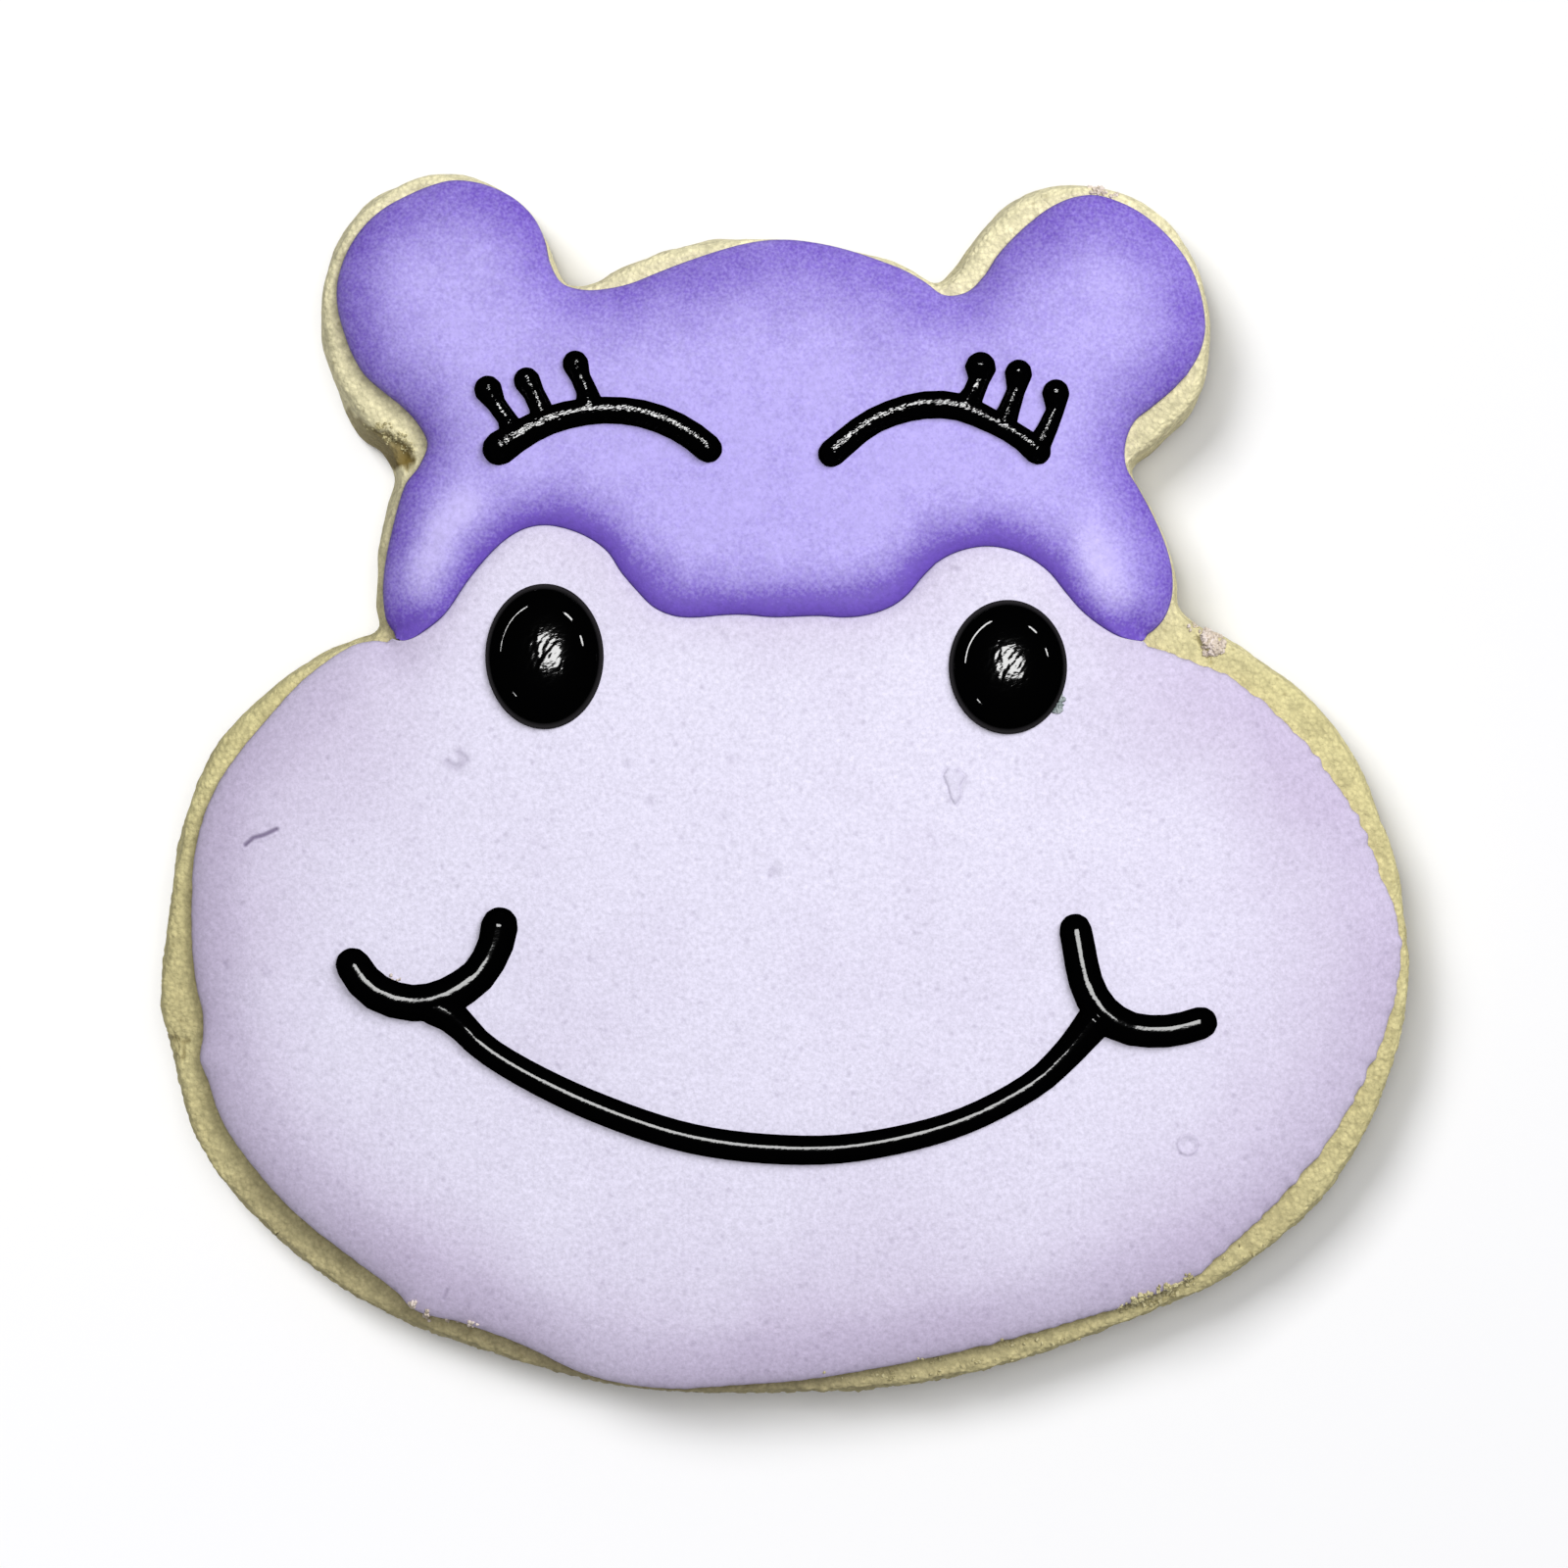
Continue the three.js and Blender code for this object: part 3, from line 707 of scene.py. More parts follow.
def biscuit_side():
    """The points of the craggy side, row by row from the underside, and how many a row has."""
    outlines = [smooth_loop(section("biscuit", height), BISCUIT_COLUMN) for height in READ_HEIGHTS]
    line = outlines[WIDEST]
    normals = outwards(line, 3)
    normals = np.column_stack([smoothed(normals[:, axis], 4) for axis in (0, 1)])
    normals /= np.linalg.norm(normals, axis=1)[:, None]
    insets = np.array([smoothed(inset_along(line, normals, other), 2) for other in outlines])
    count = len(line)
    side = side_points(line, normals, insets)
    away = np.tile(np.column_stack([normals, np.zeros(count)]), (len(SIDE_ROWS), 1))
    lean = 0.7 * np.clip((side[:, 2] - ROUND_FROM) / (BISCUIT_TOP - ROUND_FROM), 0, 1)[:, None]
    away = away * (1 - lean) + np.array([0, 0, 1]) * lean
    depth = crumb_relief(side) + CRACK_DEPTH * cracked(side)
    fade = np.clip(side[:, 2] / 0.5, 0.15, 1)
    side = side - away * (depth * fade)[:, None]
    side[:count, 2] = TABLE
    return side, count


def biscuit_top(rim):
    """The points of the top within its rim, which are finest in the ledge beside the icing."""
    tree = tree_of(rim)
    ledge = inner_rows(rim, LEDGE_ROWS, tree)
    grid = grid_inside(rim, BISCUIT_GRID)
    reach = distances(grid, tree)
    grid = grid[(reach > LEDGE_ROWS[-1] + 0.2) & (reach < LEDGE_WIDTH)]
    coarse = grid_inside(rim, COARSE_GRID)
    coarse = coarse[distances(coarse, tree) > LEDGE_WIDTH + 0.5]
    top = as_3d(np.vstack([ledge, grid, coarse]), BISCUIT_TOP)
    top[:, 2] -= crumb_relief(top) * 0.8 + CRACK_DEPTH * cracked(top)
    return top


def biscuit_underside(rim):
    """The points of the underside within its rim, flat but for its deepest pores."""
    inner = grid_inside(rim, UNDERSIDE_GRID)
    inner = inner[distances(inner, tree_of(rim)) > 0.5]
    underside = as_3d(inner, TABLE)
    underside[:, 2] += np.maximum(0, crumb_relief(underside) - 0.16)
    return underside


def biscuit_faces(side, top, underside, count):
    """The faces of the underside, the side and the top, whose points follow the side's."""
    lower, upper = side[:count, :2], side[-count:, :2]
    top_faces = fill(upper, top[:, :2]) + len(side) - count
    base_faces = fill(lower, underside[:, :2])[:, ::-1]
    base_faces = np.where(base_faces >= count, base_faces + len(side) + len(top) - count, base_faces)
    rows = [band(count * k, count * (k + 1), count) for k in range(len(SIDE_ROWS) - 1)]
    return [*base_faces, *np.vstack(rows), *top_faces]


def make_biscuit(rims):
    """The baked cookie, sunk at its edge and broken at one place where the icing's rims leave it bare."""
    side, count = biscuit_side()
    top = biscuit_top(side[-count:, :2])
    underside = biscuit_underside(side[:count, :2])
    faces = biscuit_faces(side, top, underside, count)
    points = np.vstack([side, top, underside])
    browned_and_shaded, sunk = dough_state(points)
    open_air = 1 - np.clip((under_icing(points[:, :2], rims) - 0.15) / 0.8, 0, 1)
    points[:, 2] -= SUNK_BY * sunk * open_air * np.clip(points[:, 2] / BISCUIT_TOP, 0, 1) ** 3
    broken_and_painted_shade, along = worn_wall(points)
    broken = broken_and_painted_shade * (WORN_DEPTH + 0.35 * ripple(points, 0.6, 3.3))
    points[:, 2] = np.minimum(points[:, 2], BISCUIT_TOP - broken * np.clip(along * 2 + 0.3, 0, 1))
    layers = {
        # Painted shade in the cracks
        "crack": 0.6 * cracked(points),
        # Painted shade in the broken notch, darkest at the far end of the break
        "broken_and_painted_shade": broken_and_painted_shade * (0.5 + 0.5 * along),
        # Browned dough, and painted shade on the lower left and the bottom
        "browned_and_shaded": browned_and_shaded,
        # Creamier dough, and painted light, higher up the face
        "cream_and_painted_light": np.clip((points[:, 1] - CREAM_AND_LIGHT_FROM) / CREAM_AND_LIGHT_REACH, 0, 1) * (1 - browned_and_shaded),
    }
    return make_mesh("baked_biscuit", points, faces, layers)


# Piped black icing

# How far a figure's top leans back, and the power of its section: 2 is round, and less is more peaked
SMILE_FORM = (0.18, 1.85)
EYE_FORM = (0.22, 1.85)
# How far the figures' bases are sunk into the icing, and how far they swell to make up for the smoothing
PIPED_SUNK = 0.35
PIPED_SWELL = 0.12


def piped_copy(node, name, lean, power):
    """A piped figure of the frame, smoothed, with its base sunk into the icing."""
    triangles = triangles_of(node)
    low, high = triangles[:, :, 2].min(), triangles[:, :, 2].max()
    climb = (triangles[:, :, 2] - low) / (high - low)
    triangles[:, :, 1] += lean * climb
    peaked = (1 - (1 - np.clip(climb, 0, 1) ** 2) ** (power / 2)) ** (1 / power)
    triangles[:, :, 2] = np.where(climb < 0.01, low - PIPED_SUNK, low + (high - low) * peaked)
    keys, index = np.unique(np.round(triangles.reshape(-1, 3), 4), axis=0, return_inverse=True)
    mesh = bpy.data.meshes.new(name)
    mesh.from_pydata(keys.tolist(), [], index.reshape(-1, 3).tolist())
    piece = new_object(name, mesh)
    remesh = piece.modifiers.new("even", "REMESH")
    remesh.mode = "VOXEL"
    remesh.voxel_size = PIPED_VOXEL
    smooth = piece.modifiers.new("soft", "SMOOTH")
    smooth.factor = 0.5
    smooth.iterations = 10
    bpy.context.view_layer.update()
    finished = piece.evaluated_get(bpy.context.evaluated_depsgraph_get())
    shaped = bpy.data.meshes.new_from_object(finished)
    piece.modifiers.clear()
    piece.data = shaped
    bpy.data.meshes.remove(mesh)
    swell(shaped, PIPED_SWELL)
    shaped.name = name
    shaped.shade_smooth()
    return piece


def swell(mesh, distance):
    """Moves a mesh's points out along their normals, to make up for the smoothing, then to metres."""
    count = len(mesh.vertices)
    places, normals = np.empty(count * 3), np.empty(count * 3)
    mesh.vertices.foreach_get("co", places)
    mesh.vertex_normals.foreach_get("vector", normals)
    places = (places + normals * distance) * MM
    mesh.vertices.foreach_set("co", places)
    mesh.update()


# Fineness of a drop, how far its base is sunk into the icing, and where the painted reflection round its
# edge starts
DROP_SIDES = 180
DROP_RINGS = 90
DROP_SUNK = 0.3
DROP_FOOT = 0.84
# Low ridges round a drop: from and to which angle in degrees, how far out from 0 to 1, and how high
RIDGES = ((112, 176, 0.755, 0.075), (46, 60, 0.71, 0.075), (12, 24, 0.7, 0.08), (222, 231, 0.74, 0.075))
RIDGE_WIDTH = 0.027
# The drops' lean, as slopes along x and y at their tops
DROP_LEAN = (0.045, -0.017)
# The fold across the top of each drop, which parts its highlight: its place, direction, height and width
FOLD_MIDDLE = (0.42, 0.42)
FOLD_TURN = math.radians(-33)
FOLD_HEIGHT = 0.028
FOLD_WIDTH = 0.22
# The fine wrinkles on each drop: their direction, length for their width, width and height
WRINKLE_TURN = math.radians(58)
WRINKLE_STRETCH = 2.4
WRINKLE_WIDTH = 0.27
WRINKLE_HEIGHT = 0.02


def ridge_height(across, turn):
    """The ridges' height round a drop, at one distance out of its middle."""
    total = np.zeros(len(turn))
    degrees = np.degrees(turn)
    for start, end, place, height in RIDGES:
        inside = np.clip(np.minimum(degrees - start, end - degrees) / 5 + 1, 0, 1)
        total += height * inside * math.exp(-(((across - place) / RIDGE_WIDTH) ** 2))
    return total


def fold_height(x, y):
    """The fold's height at places given from the middle of a drop."""
    x, y = x - FOLD_MIDDLE[0], y - FOLD_MIDDLE[1]
    across = x * math.cos(FOLD_TURN) + y * math.sin(FOLD_TURN)
    return FOLD_HEIGHT * np.tanh(across / FOLD_WIDTH) * np.exp(-(x**2 + y**2) / 4)


def fine_wrinkles(x, y):
    """Long wrinkles that run up to the right, near the middle of a drop."""
    run = x * math.cos(WRINKLE_TURN) + y * math.sin(WRINKLE_TURN)
    across = y * math.cos(WRINKLE_TURN) - x * math.sin(WRINKLE_TURN)
    places = np.column_stack([run / WRINKLE_STRETCH, across, np.zeros(len(x))])
    return WRINKLE_HEIGHT * ripple(places, WRINKLE_WIDTH, 4.1) * np.exp(-(x**2 + y**2) / 4)


def make_nostril(node, name):
    """A thick glossy oval drop."""
    low, high = (np.array(corner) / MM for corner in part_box(node))
    middle, half = (low + high) / 2, (high - low) / 2
    turn = np.linspace(0, 2 * math.pi, DROP_SIDES, endpoint=False)
    points = [np.column_stack([
        middle[0] + half[0] * np.cos(turn),
        middle[1] + half[1] * np.sin(turn),
        np.full(DROP_SIDES, low[2] - DROP_SUNK),
    ])]
    for climb in np.linspace(0, math.pi / 2, DROP_RINGS, endpoint=False):
        across = math.cos(climb)
        x, y = half[0] * across * np.cos(turn), half[1] * across * np.sin(turn)
        up = low[2] + (high[2] - low[2]) * math.sin(climb)
        relief = ridge_height(across, turn) + fold_height(x, y) + fine_wrinkles(x, y)
        relief += (DROP_LEAN[0] * x + DROP_LEAN[1] * y) * (1 - across**2)
        points.append(np.column_stack([middle[0] + x, middle[1] + y, up + relief]))
    points.append(np.array([[middle[0], middle[1], points[-1][:, 2].mean()]]))
    points = np.vstack(points)
    rings = [band(DROP_SIDES * k, DROP_SIDES * (k + 1), DROP_SIDES) for k in range(DROP_RINGS)]
    faces = [*np.vstack(rings)]
    peak, last = len(points) - 1, DROP_SIDES * DROP_RINGS
    faces += [[last + k, last + (k + 1) % DROP_SIDES, peak] for k in range(DROP_SIDES)]
    faces.append(list(range(DROP_SIDES))[::-1])
    out = ((points[:, :2] - middle[:2]) ** 2 / half[:2] ** 2).sum(1)
    # Painted reflection: the drop's outer edge is greyed
    return make_mesh(name, points, faces, {"painted_rim_reflection": np.clip((out - DROP_FOOT) / 0.1, 0, 1)})


# Crumbs

# Their colours, pale and deep
DOUGH_CRUMB = ((0.66, 0.60, 0.34), (0.42, 0.37, 0.19))
SUGAR_CRUMB = ((0.76, 0.67, 0.62), (0.58, 0.49, 0.38))
DARK_CRUMB = ((0.46, 0.50, 0.51), (0.20, 0.25, 0.25))
# Crumbs that would lie lower than this are left out
CRUMBS_ABOVE = 4.5
# How high a crumb's middle is above what it lies on, as a share of its radius
CRUMB_CENTRE = 0.35
# Name, slot, colours, and groups: middle pixel, spread in pixels, how many and their size in millimetres
CRUMBS = (
    ("dough_crumbs", "biscuit", DOUGH_CRUMB, (
        ((385, 437), (9, 3), 34, 0.1), ((402, 447), (7, 3), 38, 0.1), ((415, 457), (4, 3), 18, 0.1),
        ((1148, 1334), (7, 3), 16, 0.15), ((1170, 1325), (9, 4), 42, 0.17), ((1194, 1315), (8, 4), 44, 0.17),
        ((1214, 1306), (5, 4), 20, 0.15), ((905, 1404), (40, 3), 18, 0.11), ((985, 1390), (30, 3), 18, 0.12),
        ((1070, 1369), (30, 3), 20, 0.13), ((1280, 1290), (25, 12), 14, 0.12),
    )),
    ("sugar_crumbs", "lilac_icing", SUGAR_CRUMB, (
        ((1238, 654), (6, 8), 110, 0.23), ((1222, 641), (7, 3), 12, 0.14), ((421, 1331), (3, 3), 8, 0.17),
        ((434, 1343), (2, 4), 10, 0.16), ((457, 1347), (2, 2), 4, 0.14), ((464, 1348), (2, 2), 4, 0.13),
        ((483, 1351), (3, 2), 6, 0.13), ((1118, 195), (4, 3), 14, 0.16), ((1122, 190), (2, 2), 6, 0.13),
        ((1134, 198), (6, 1.5), 10, 0.13), ((402, 997), (5, 2), 8, 0.1),
    )),
    ("dark_crumbs", "black_icing", DARK_CRUMB, (
        ((1080, 713), (2, 5), 26, 0.17), ((1080, 725), (4, 2), 16, 0.15),
    )),
)


def surface_height(pieces, place):
    """Height of the highest of some pieces under a place, or the floor's where none is."""
    start = Vector((*place, 2 * ICING_TOP)) * MM
    hits = [piece.ray_cast(start, Vector((0, 0, -1))) for piece in pieces]
    return max([where.z / MM for hit, where, *_ in hits if hit], default=TABLE)


def lump(ball, draw):
    """A ball's points, pushed in and out, flattened and turned at random."""
    seed = Vector(draw.uniform(-50, 50, 3))
    pushed = np.array([v * (1 + 0.7 * noise.noise(Vector(v) * 1.5 + seed)) for v in ball])
    spin, _ = np.linalg.qr(draw.normal(size=(3, 3)))
    return pushed * draw.uniform((0.9, 0.6, 0.4), 1.1) @ spin


def make_crumbs(name, slot, colours, groups, under):
    """Small lumps that lie on what is under them, joined into one piece."""
    bpy.context.view_layer.update()
    form = bmesh.new()
    bmesh.ops.create_icosphere(form, subdivisions=3, radius=1)
    ball = np.array([v.co for v in form.verts])
    triangles = np.array([[v.index for v in face.verts] for face in form.faces])
    form.free()
    draw = np.random.default_rng(7)
    points, faces, tones = [], [], []
    for pixel, spread, count, size in groups:
        for _ in range(count):
            scatter = draw.normal(size=2).clip(-1.6, 1.6) * spread
            place = in_photo(np.array(pixel) + scatter, BISCUIT_TOP)
            radius = size * draw.uniform(0.6, 1.3)
            height = surface_height(under, place)
            if height < CRUMBS_ABOVE:
                continue
            middle = np.array([*place, height + CRUMB_CENTRE * radius])
            faces.append(triangles + len(points) * len(ball))
            points.append(lump(ball, draw) * radius + middle)
            tones.append(np.full(len(ball), draw.uniform(0, 1)))
    piece = make_mesh(name, np.vstack(points), np.vstack(faces), {"tone": np.concatenate(tones)})
    return dress(piece, crumb_material(name, *colours), slot)


# Materials


# Colours, linear
VIOLET_LIGHT = (0.43, 0.366, 0.80)
# A paler violet for the painted sheen down the lobes
VIOLET_PAINTED_SHEEN = (0.56, 0.50, 0.85)
VIOLET_DARK = (0.142, 0.074, 0.47)
LILAC_PALE = (0.71, 0.678, 0.84)
# The lilac's overspray and painted shade at its edges
LILAC_OVERSPRAY_AND_PAINTED_SHADE = (0.55, 0.48, 0.66)
LILAC_MARK = (0.2, 0.16, 0.27)
BISCUIT_PALE = (0.70, 0.637, 0.325)
BISCUIT_TAN = (0.60, 0.537, 0.268)
# Creamier dough, and painted light, higher up the face
BISCUIT_CREAM_AND_PAINTED_LIGHT = (0.83, 0.77, 0.495)
# Browned dough, and painted shade on the lower left and the bottom
BISCUIT_BROWNED_AND_SHADED = (0.385, 0.33, 0.19)
BISCUIT_BASE = (0.40, 0.34, 0.18)
# Painted shade in the pores and the cracks
BISCUIT_PORE_AND_CRACK_SHADE = (0.22, 0.17, 0.07)
# Painted shade in the broken notch under the ear
BISCUIT_BROKEN_AND_SHADED = (0.17, 0.12, 0.03)
BLACK = (0.0005, 0.0005, 0.0006)
# Painted reflection round the drops' edges
BLACK_PAINTED_REFLECTION = (0.03, 0.028, 0.03)
FLOOR_COLOUR = (0.9, 0.9, 0.915)


def new_material(name):
    """A material and its node tree."""
    material = bpy.data.materials.new(name)
    material.use_nodes = True
    return material, material.node_tree


def give(tree, value, socket):
    """Links a socket to another that its value comes from, or sets it to a number or a colour."""
    if isinstance(value, bpy.types.NodeSocket):
        tree.links.new(value, socket)
    else:
        socket.default_value = value if isinstance(value, float) else (*value, 1)


def surface(tree, colour, roughness, gloss=0.5, normal=None):
    """Sets the shader, whose colour comes from a socket or is one colour all over."""
    shader = tree.nodes["Principled BSDF"]
    give(tree, colour, shader.inputs["Base Color"])
    shader.inputs["Roughness"].default_value = roughness
    shader.inputs["Specular IOR Level"].default_value = gloss
    if normal:
        tree.links.new(normal, shader.inputs["Normal"])


def attribute(tree, key):
    node = tree.nodes.new("ShaderNodeAttribute")
    node.attribute_name = key
    return node.outputs["Fac"]


def object_place(tree):
    return tree.nodes.new("ShaderNodeTexCoord").outputs["Object"]


def slanted_place(tree):
    """The object's own coordinates, for a texture that is stretched along a slant."""
    slant = tree.nodes.new("ShaderNodeMapping")
    slant.vector_type = "TEXTURE"
    slant.inputs["Rotation"].default_value = (0, 0, math.radians(20))
    slant.inputs["Scale"].default_value = (1.0, 0.45, 1.0)
    tree.links.new(object_place(tree), slant.inputs["Vector"])
    return slant.outputs["Vector"]


def noise_over(tree, scale, detail=2.0, roughness=0.5, place=None):
    """Noise over the object's own coordinates, or over others; scale is in waves a metre."""
    texture = tree.nodes.new("ShaderNodeTexNoise")
    texture.inputs["Scale"].default_value = scale
    texture.inputs["Detail"].default_value = detail
    texture.inputs["Roughness"].default_value = roughness
    tree.links.new(place or object_place(tree), texture.inputs["Vector"])
    return texture.outputs["Fac"]


def cells_over(tree, scale):
    """Distance from the middles of cells over the object's own coordinates."""
    texture = tree.nodes.new("ShaderNodeTexVoronoi")
    texture.inputs["Scale"].default_value = scale
    tree.links.new(object_place(tree), texture.inputs["Vector"])
    return texture.outputs["Distance"]


def ranged(tree, value, low, high, to_low=0.0, to_high=1.0):
    """A value that runs from low to high, made to run between two others."""
    node = tree.nodes.new("ShaderNodeMapRange")
    node.inputs["From Min"].default_value = low
    node.inputs["From Max"].default_value = high
    node.inputs["To Min"].default_value = to_low
    node.inputs["To Max"].default_value = to_high
    tree.links.new(value, node.inputs["Value"])
    return node.outputs["Result"]


def added(tree, first, second, clamp=False):
    node = tree.nodes.new("ShaderNodeMath")
    node.use_clamp = clamp
    tree.links.new(first, node.inputs[0])
    tree.links.new(second, node.inputs[1])
    return node.outputs[0]


def mixed(tree, share, first, second, blend="MIX"):
    """Two colours mixed; each is a colour or a socket, and the share is a number or a socket."""
    node = tree.nodes.new("ShaderNodeMix")
    node.data_type = "RGBA"
    node.blend_type = blend
    give(tree, share, node.inputs[0])
    give(tree, first, node.inputs[6])
    give(tree, second, node.inputs[7])
    return node.outputs[2]


def shaded(tree, colour, value, *span):
    """A colour made darker and lighter by a value, over a span as ranged takes it."""
    return mixed(tree, 1.0, colour, ranged(tree, value, *span), "MULTIPLY")


def bumped(tree, height, distance, under=None):
    """Normals over a height that is worth a distance in millimetres, on top of other normals if given."""
    node = tree.nodes.new("ShaderNodeBump")
    node.inputs["Distance"].default_value = distance * MM
    node.inputs["Strength"].default_value = 1.0
    tree.links.new(height, node.inputs["Height"])
    if under:
        tree.links.new(under, node.inputs["Normal"])
    return node.outputs["Normal"]


def violet_material():
    material, tree = new_material("violet_icing")
    speckle = ranged(tree, noise_over(tree, 4600, 1.0), 0.3, 0.7, -0.17, 0.17)
    cloud = ranged(tree, noise_over(tree, 330), 0.3, 0.7, -0.1, 0.1)
    airbrush_and_painted_light = added(tree, attribute(tree, "airbrush_and_painted_light"), speckle)
    # Painted sheen: the lobes' streaks are mixed towards a paler violet
    light = mixed(tree, attribute(tree, "pale"), VIOLET_LIGHT, VIOLET_PAINTED_SHEEN)
    colour = mixed(tree, added(tree, airbrush_and_painted_light, cloud, True), light, VIOLET_DARK)
    colour = shaded(tree, colour, noise_over(tree, 2600, 3.0, 0.65), 0.3, 0.7, 0.88, 1.1)
    surface(tree, colour, 0.48, normal=bumped(tree, noise_over(tree, 4200), 0.02))
    return material


def lilac_material():
    material, tree = new_material("lilac_icing")
    cloud = ranged(tree, noise_over(tree, 90, 3.0), 0.3, 0.7, -0.2, 0.2)
    # Overspray and painted shade darken the lilac towards its edges
    airbrush_and_painted_light = added(tree, attribute(tree, "airbrush_and_painted_light"), cloud, True)
    colour = mixed(tree, airbrush_and_painted_light, LILAC_PALE, LILAC_OVERSPRAY_AND_PAINTED_SHADE)
    colour = shaded(tree, colour, noise_over(tree, 3000, 4.0, 0.8), 0.3, 0.7, 0.79, 1.1)
    specks = ranged(tree, cells_over(tree, 850), 0.06, 0.24, 0.2, 0.0)
    colour = mixed(tree, specks, colour, LILAC_MARK)
    # Dirt, and painted shade in the grooves and dents
    colour = mixed(tree, attribute(tree, "smudges_and_groove_shade"), colour, LILAC_MARK)
    grain = bumped(tree, noise_over(tree, 3800), 0.02)
    pits = ranged(tree, cells_over(tree, 700), 0.0, 0.22)
    surface(tree, colour, 0.42, normal=bumped(tree, pits, 0.03, grain))
    return material


def biscuit_material():
    material, tree = new_material("baked_dough")
    patches = ranged(tree, noise_over(tree, 260, 3.0), 0.35, 0.7)
    colour = mixed(tree, patches, BISCUIT_PALE, BISCUIT_TAN)
    # Creamier dough, and painted light, higher up the face
    colour = mixed(tree, attribute(tree, "cream_and_painted_light"), colour, BISCUIT_CREAM_AND_PAINTED_LIGHT)
    # Browned dough, and painted shade on the lower left and the bottom
    colour = mixed(tree, attribute(tree, "browned_and_shaded"), colour, BISCUIT_BROWNED_AND_SHADED)
    colour = shaded(tree, colour, noise_over(tree, 1100), 0.3, 0.7, 0.84, 1.1)
    colour = shaded(tree, colour, noise_over(tree, 4200, 3.0, 0.7), 0.3, 0.75, 0.82, 1.12)
    # Painted shade between the granules and painted light on their tops, over the same cells as their bumps
    colour = shaded(tree, colour, cells_over(tree, 2500), 0.3, 0.75, 1.05, 0.88)
    # Painted shade in the pores
    pores = ranged(tree, cells_over(tree, 900), 0.04, 0.2, 0.4, 0.0)
    colour = mixed(tree, pores, colour, BISCUIT_PORE_AND_CRACK_SHADE)
    parts = tree.nodes.new("ShaderNodeSeparateXYZ")
    tree.links.new(object_place(tree), parts.inputs[0])
    low = ranged(tree, parts.outputs["Z"], 0.0, 1.6 * MM, 0.85, 0.0)
    colour = mixed(tree, low, colour, BISCUIT_BASE)
    # Painted shade in the broken notch, darkest at the far end of the break
    colour = mixed(tree, attribute(tree, "broken_and_painted_shade"), colour, BISCUIT_BROKEN_AND_SHADED)
    # Painted shade in the cracks
    colour = mixed(tree, attribute(tree, "crack"), colour, BISCUIT_PORE_AND_CRACK_SHADE)
    fine = bumped(tree, noise_over(tree, 3400, 3.0, 0.65), 0.11)
    granules = ranged(tree, cells_over(tree, 2500), 0.1, 0.7, 1.0, 0.0)
    surface(tree, colour, 0.85, 0.25, bumped(tree, granules, 0.07, fine))
    return material


def black_material(name, crackle, gloss, reflection_layer=None):
    """Black icing; crackle is the depth of its slanting wrinkles, and the last argument a layer where a
    painted reflection greys it.
    """
    material, tree = new_material(name)
    # A painted reflection greys the black where the layer is high
    colour = mixed(tree, attribute(tree, reflection_layer), BLACK, BLACK_PAINTED_REFLECTION) if reflection_layer else BLACK
    wrinkles = noise_over(tree, 1300, 2.0, 0.6, slanted_place(tree))
    surface(tree, colour, 0.09, gloss, bumped(tree, wrinkles, crackle))
    return material


def crumb_material(name, pale, deep):
    material, tree = new_material(name)
    colour = mixed(tree, attribute(tree, "tone"), pale, deep)
    colour = shaded(tree, colour, noise_over(tree, 5000), 0.3, 0.7, 0.8, 1.1)
    surface(tree, colour, 0.7, normal=bumped(tree, noise_over(tree, 5000), 0.04))
    return material


def floor_material():
    material, tree = new_material("pale_floor")
    surface(tree, FLOOR_COLOUR, 0.9, 0.1)
    return material


def dress(piece, material, slot, *nodes):
    piece.data.materials.clear()
    piece.data.materials.append(material)
    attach(piece, "root")
    if nodes:
        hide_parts(*nodes)
    return piece


# Stage, lights and camera

# Half the floor's side and how far it is under the cookie, and how strongly the room itself glows
FLOOR_HALF = 1500
FLOOR_BELOW = 0.02
ROOM_GLOW = 0.23


def make_floor():
    side = FLOOR_HALF * MM
    corners = [(-side, -side, 0), (side, -side, 0), (side, side, 0), (-side, side, 0)]
    mesh = bpy.data.meshes.new("floor")
    mesh.from_pydata(corners, [], [(0, 1, 2, 3)])
    mesh.materials.append(floor_material())
    floor = new_object("floor", mesh)
    floor.location.z = (TABLE - FLOOR_BELOW) * MM
    return floor


def area_light(name, place, size, power, glossy):
    """A square light that faces the cookie, placed and sized in metres."""
    data = bpy.data.lights.new(name, "AREA")
    data.size = size
    data.energy = power
    light = new_object(name, data)
    light.location = place
    light.rotation_euler = Vector(place).to_track_quat("Z", "Y").to_euler()
    light.visible_glossy = glossy
    return light


def gather(name, objects):
    group = bpy.data.collections.new(name)
    for item in objects:
        group.objects.link(item)
    return group


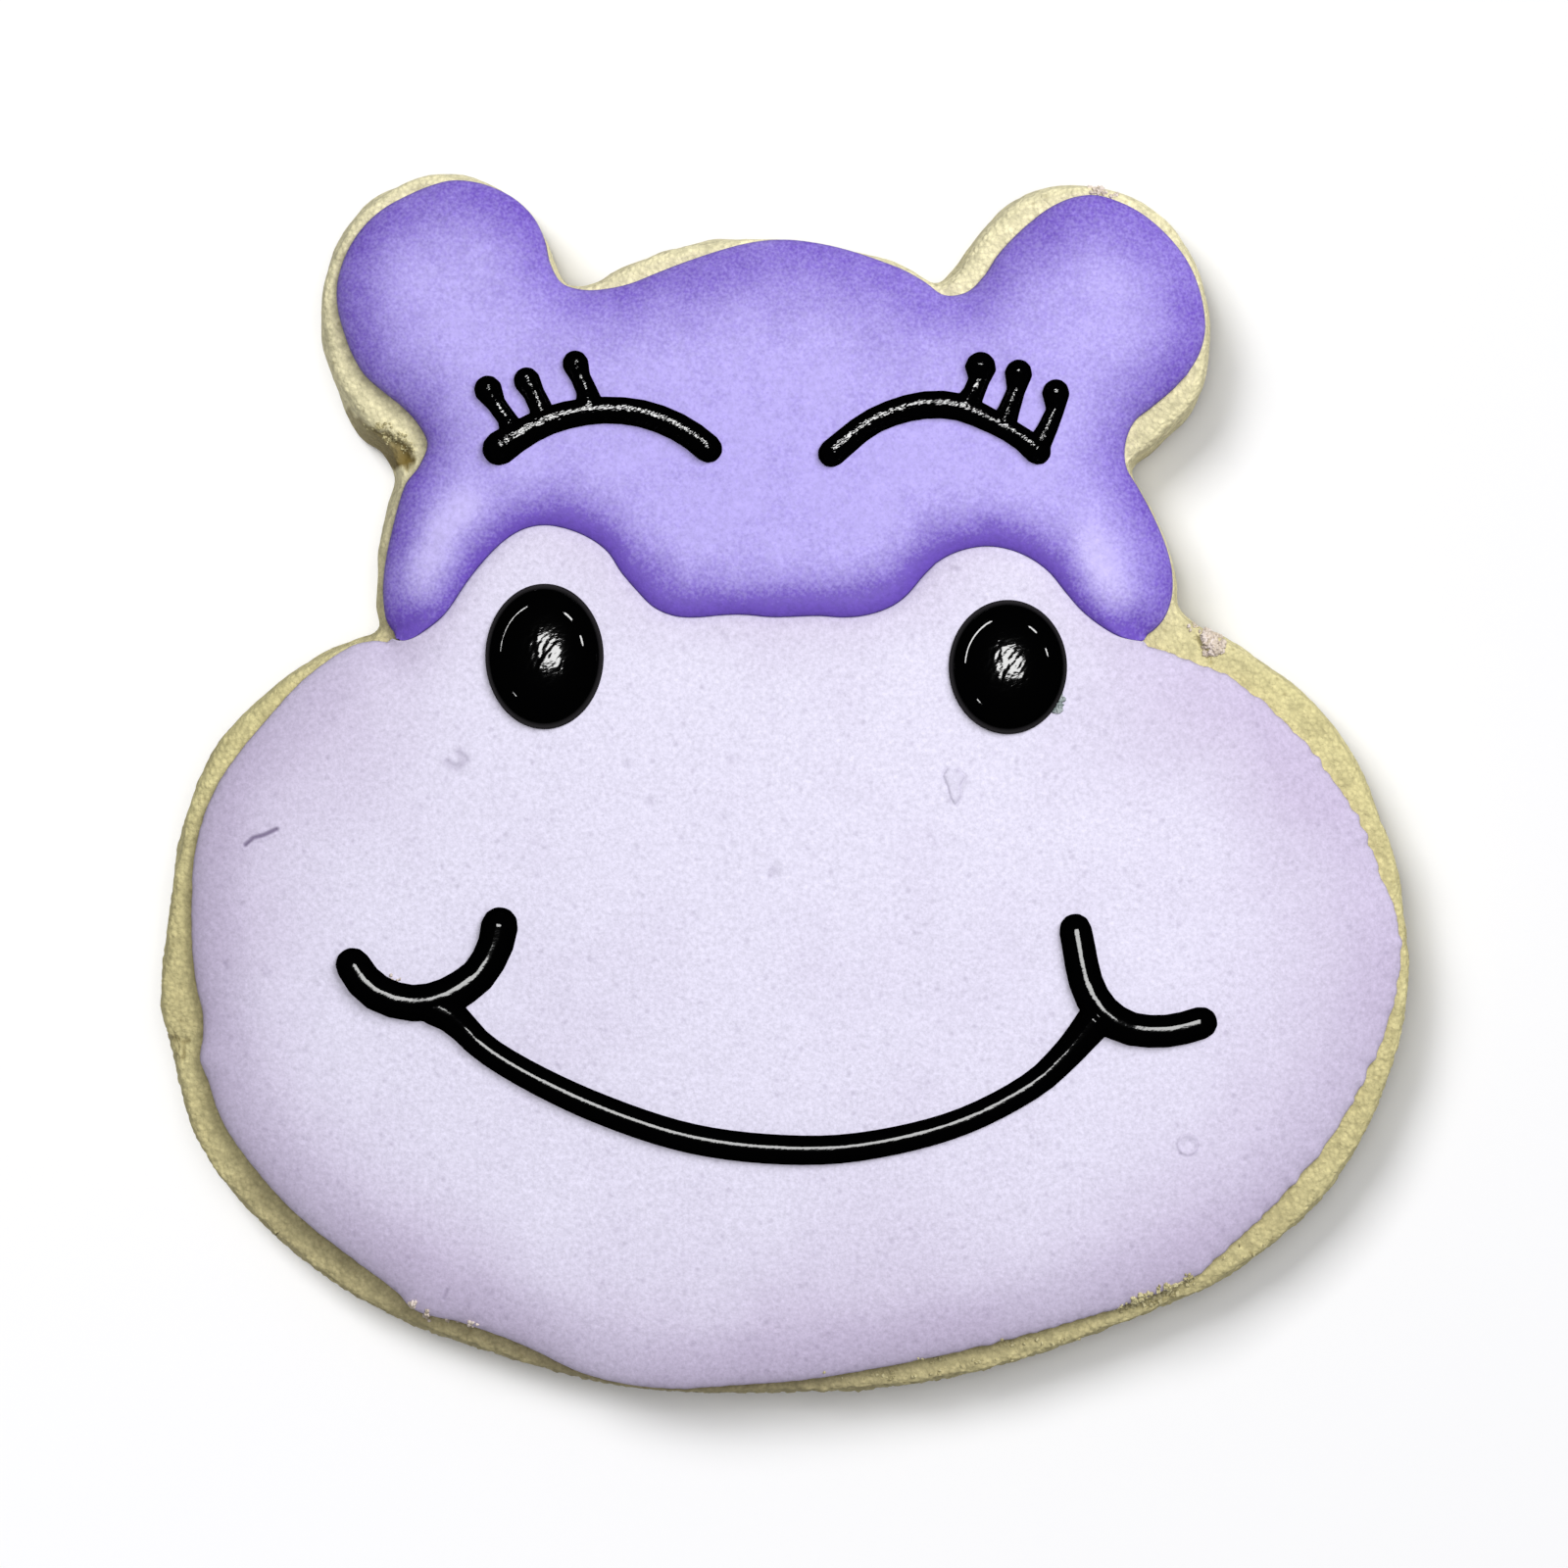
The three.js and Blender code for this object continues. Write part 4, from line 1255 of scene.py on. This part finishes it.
def make_lights(matte, black, floor):
    """Soft lights, each for the cookie, the floor or the black icing, whose highlights are set apart."""
    lights = (
        (area_light("overhead", (0.01, 0.10, 1.0), 0.55, 3.7, True), [*matte, floor]),
        (area_light("upper_right", (0.17, 0.17, 0.34), 0.2, 1.33, False), matte),
        (area_light("upper_left", (-0.8, 0.88, 1.52), 0.8, 27, False), [floor]),
        (area_light("glint", (0.0095, 0.095, 0.95), 0.32, 9, True), black),
    )
    for light, lit in lights:
        light.light_linking.receiver_collection = gather("lit_by_" + light.name, lit)
    world = bpy.data.worlds.new("soft_room")
    bpy.context.scene.world = world
    world.use_nodes = True
    background = world.node_tree.nodes["Background"]
    background.inputs["Color"].default_value = (1, 1, 1, 1)
    background.inputs["Strength"].default_value = ROOM_GLOW
    world.cycles_visibility.glossy = False


def make_camera():
    data = bpy.data.cameras.new("camera")
    data.sensor_width = SENSOR
    data.lens = LENS
    data.clip_start, data.clip_end = 0.01, 10
    camera = new_object("camera", data)
    camera.location = (CAMERA_AIM + Vector((0, 0, CAMERA_DISTANCE))) * MM
    bpy.context.scene.camera = camera


bpy.context.scene.view_settings.view_transform = "Standard"

make_camera()
lilac, violet, rims = make_icings()
biscuit = make_biscuit(rims)
smooth_black = black_material("black_icing_smooth", 0.01, 0.24)
drop_black = black_material("black_icing_drops", 0.02, 0.36, "painted_rim_reflection")
crackled_black = black_material("black_icing_crackled", 0.11, 0.42)

cookie = [
    dress(biscuit, biscuit_material(), "biscuit", "biscuit"),
    dress(lilac, lilac_material(), "lilac_icing", "muzzle_icing"),
    dress(violet, violet_material(), "violet_icing", "head_icing"),
]
black = [dress(piped_copy("smile", "piped_smile", *SMILE_FORM), smooth_black, "black_icing", "smile")]
for node in ("eye_left", "eye_right"):
    black.append(dress(piped_copy(node, "piped_" + node, *EYE_FORM), crackled_black, "black_icing", node))
for node in ("nostril_left", "nostril_right"):
    black.append(dress(make_nostril(node, "drop_" + node), drop_black, "black_icing", node))
matte = cookie + [make_crumbs(*crumbs, cookie) for crumbs in CRUMBS]
floor = make_floor()
for dull in (*matte, floor):
    dull.visible_glossy = False
make_lights(matte, black, floor)
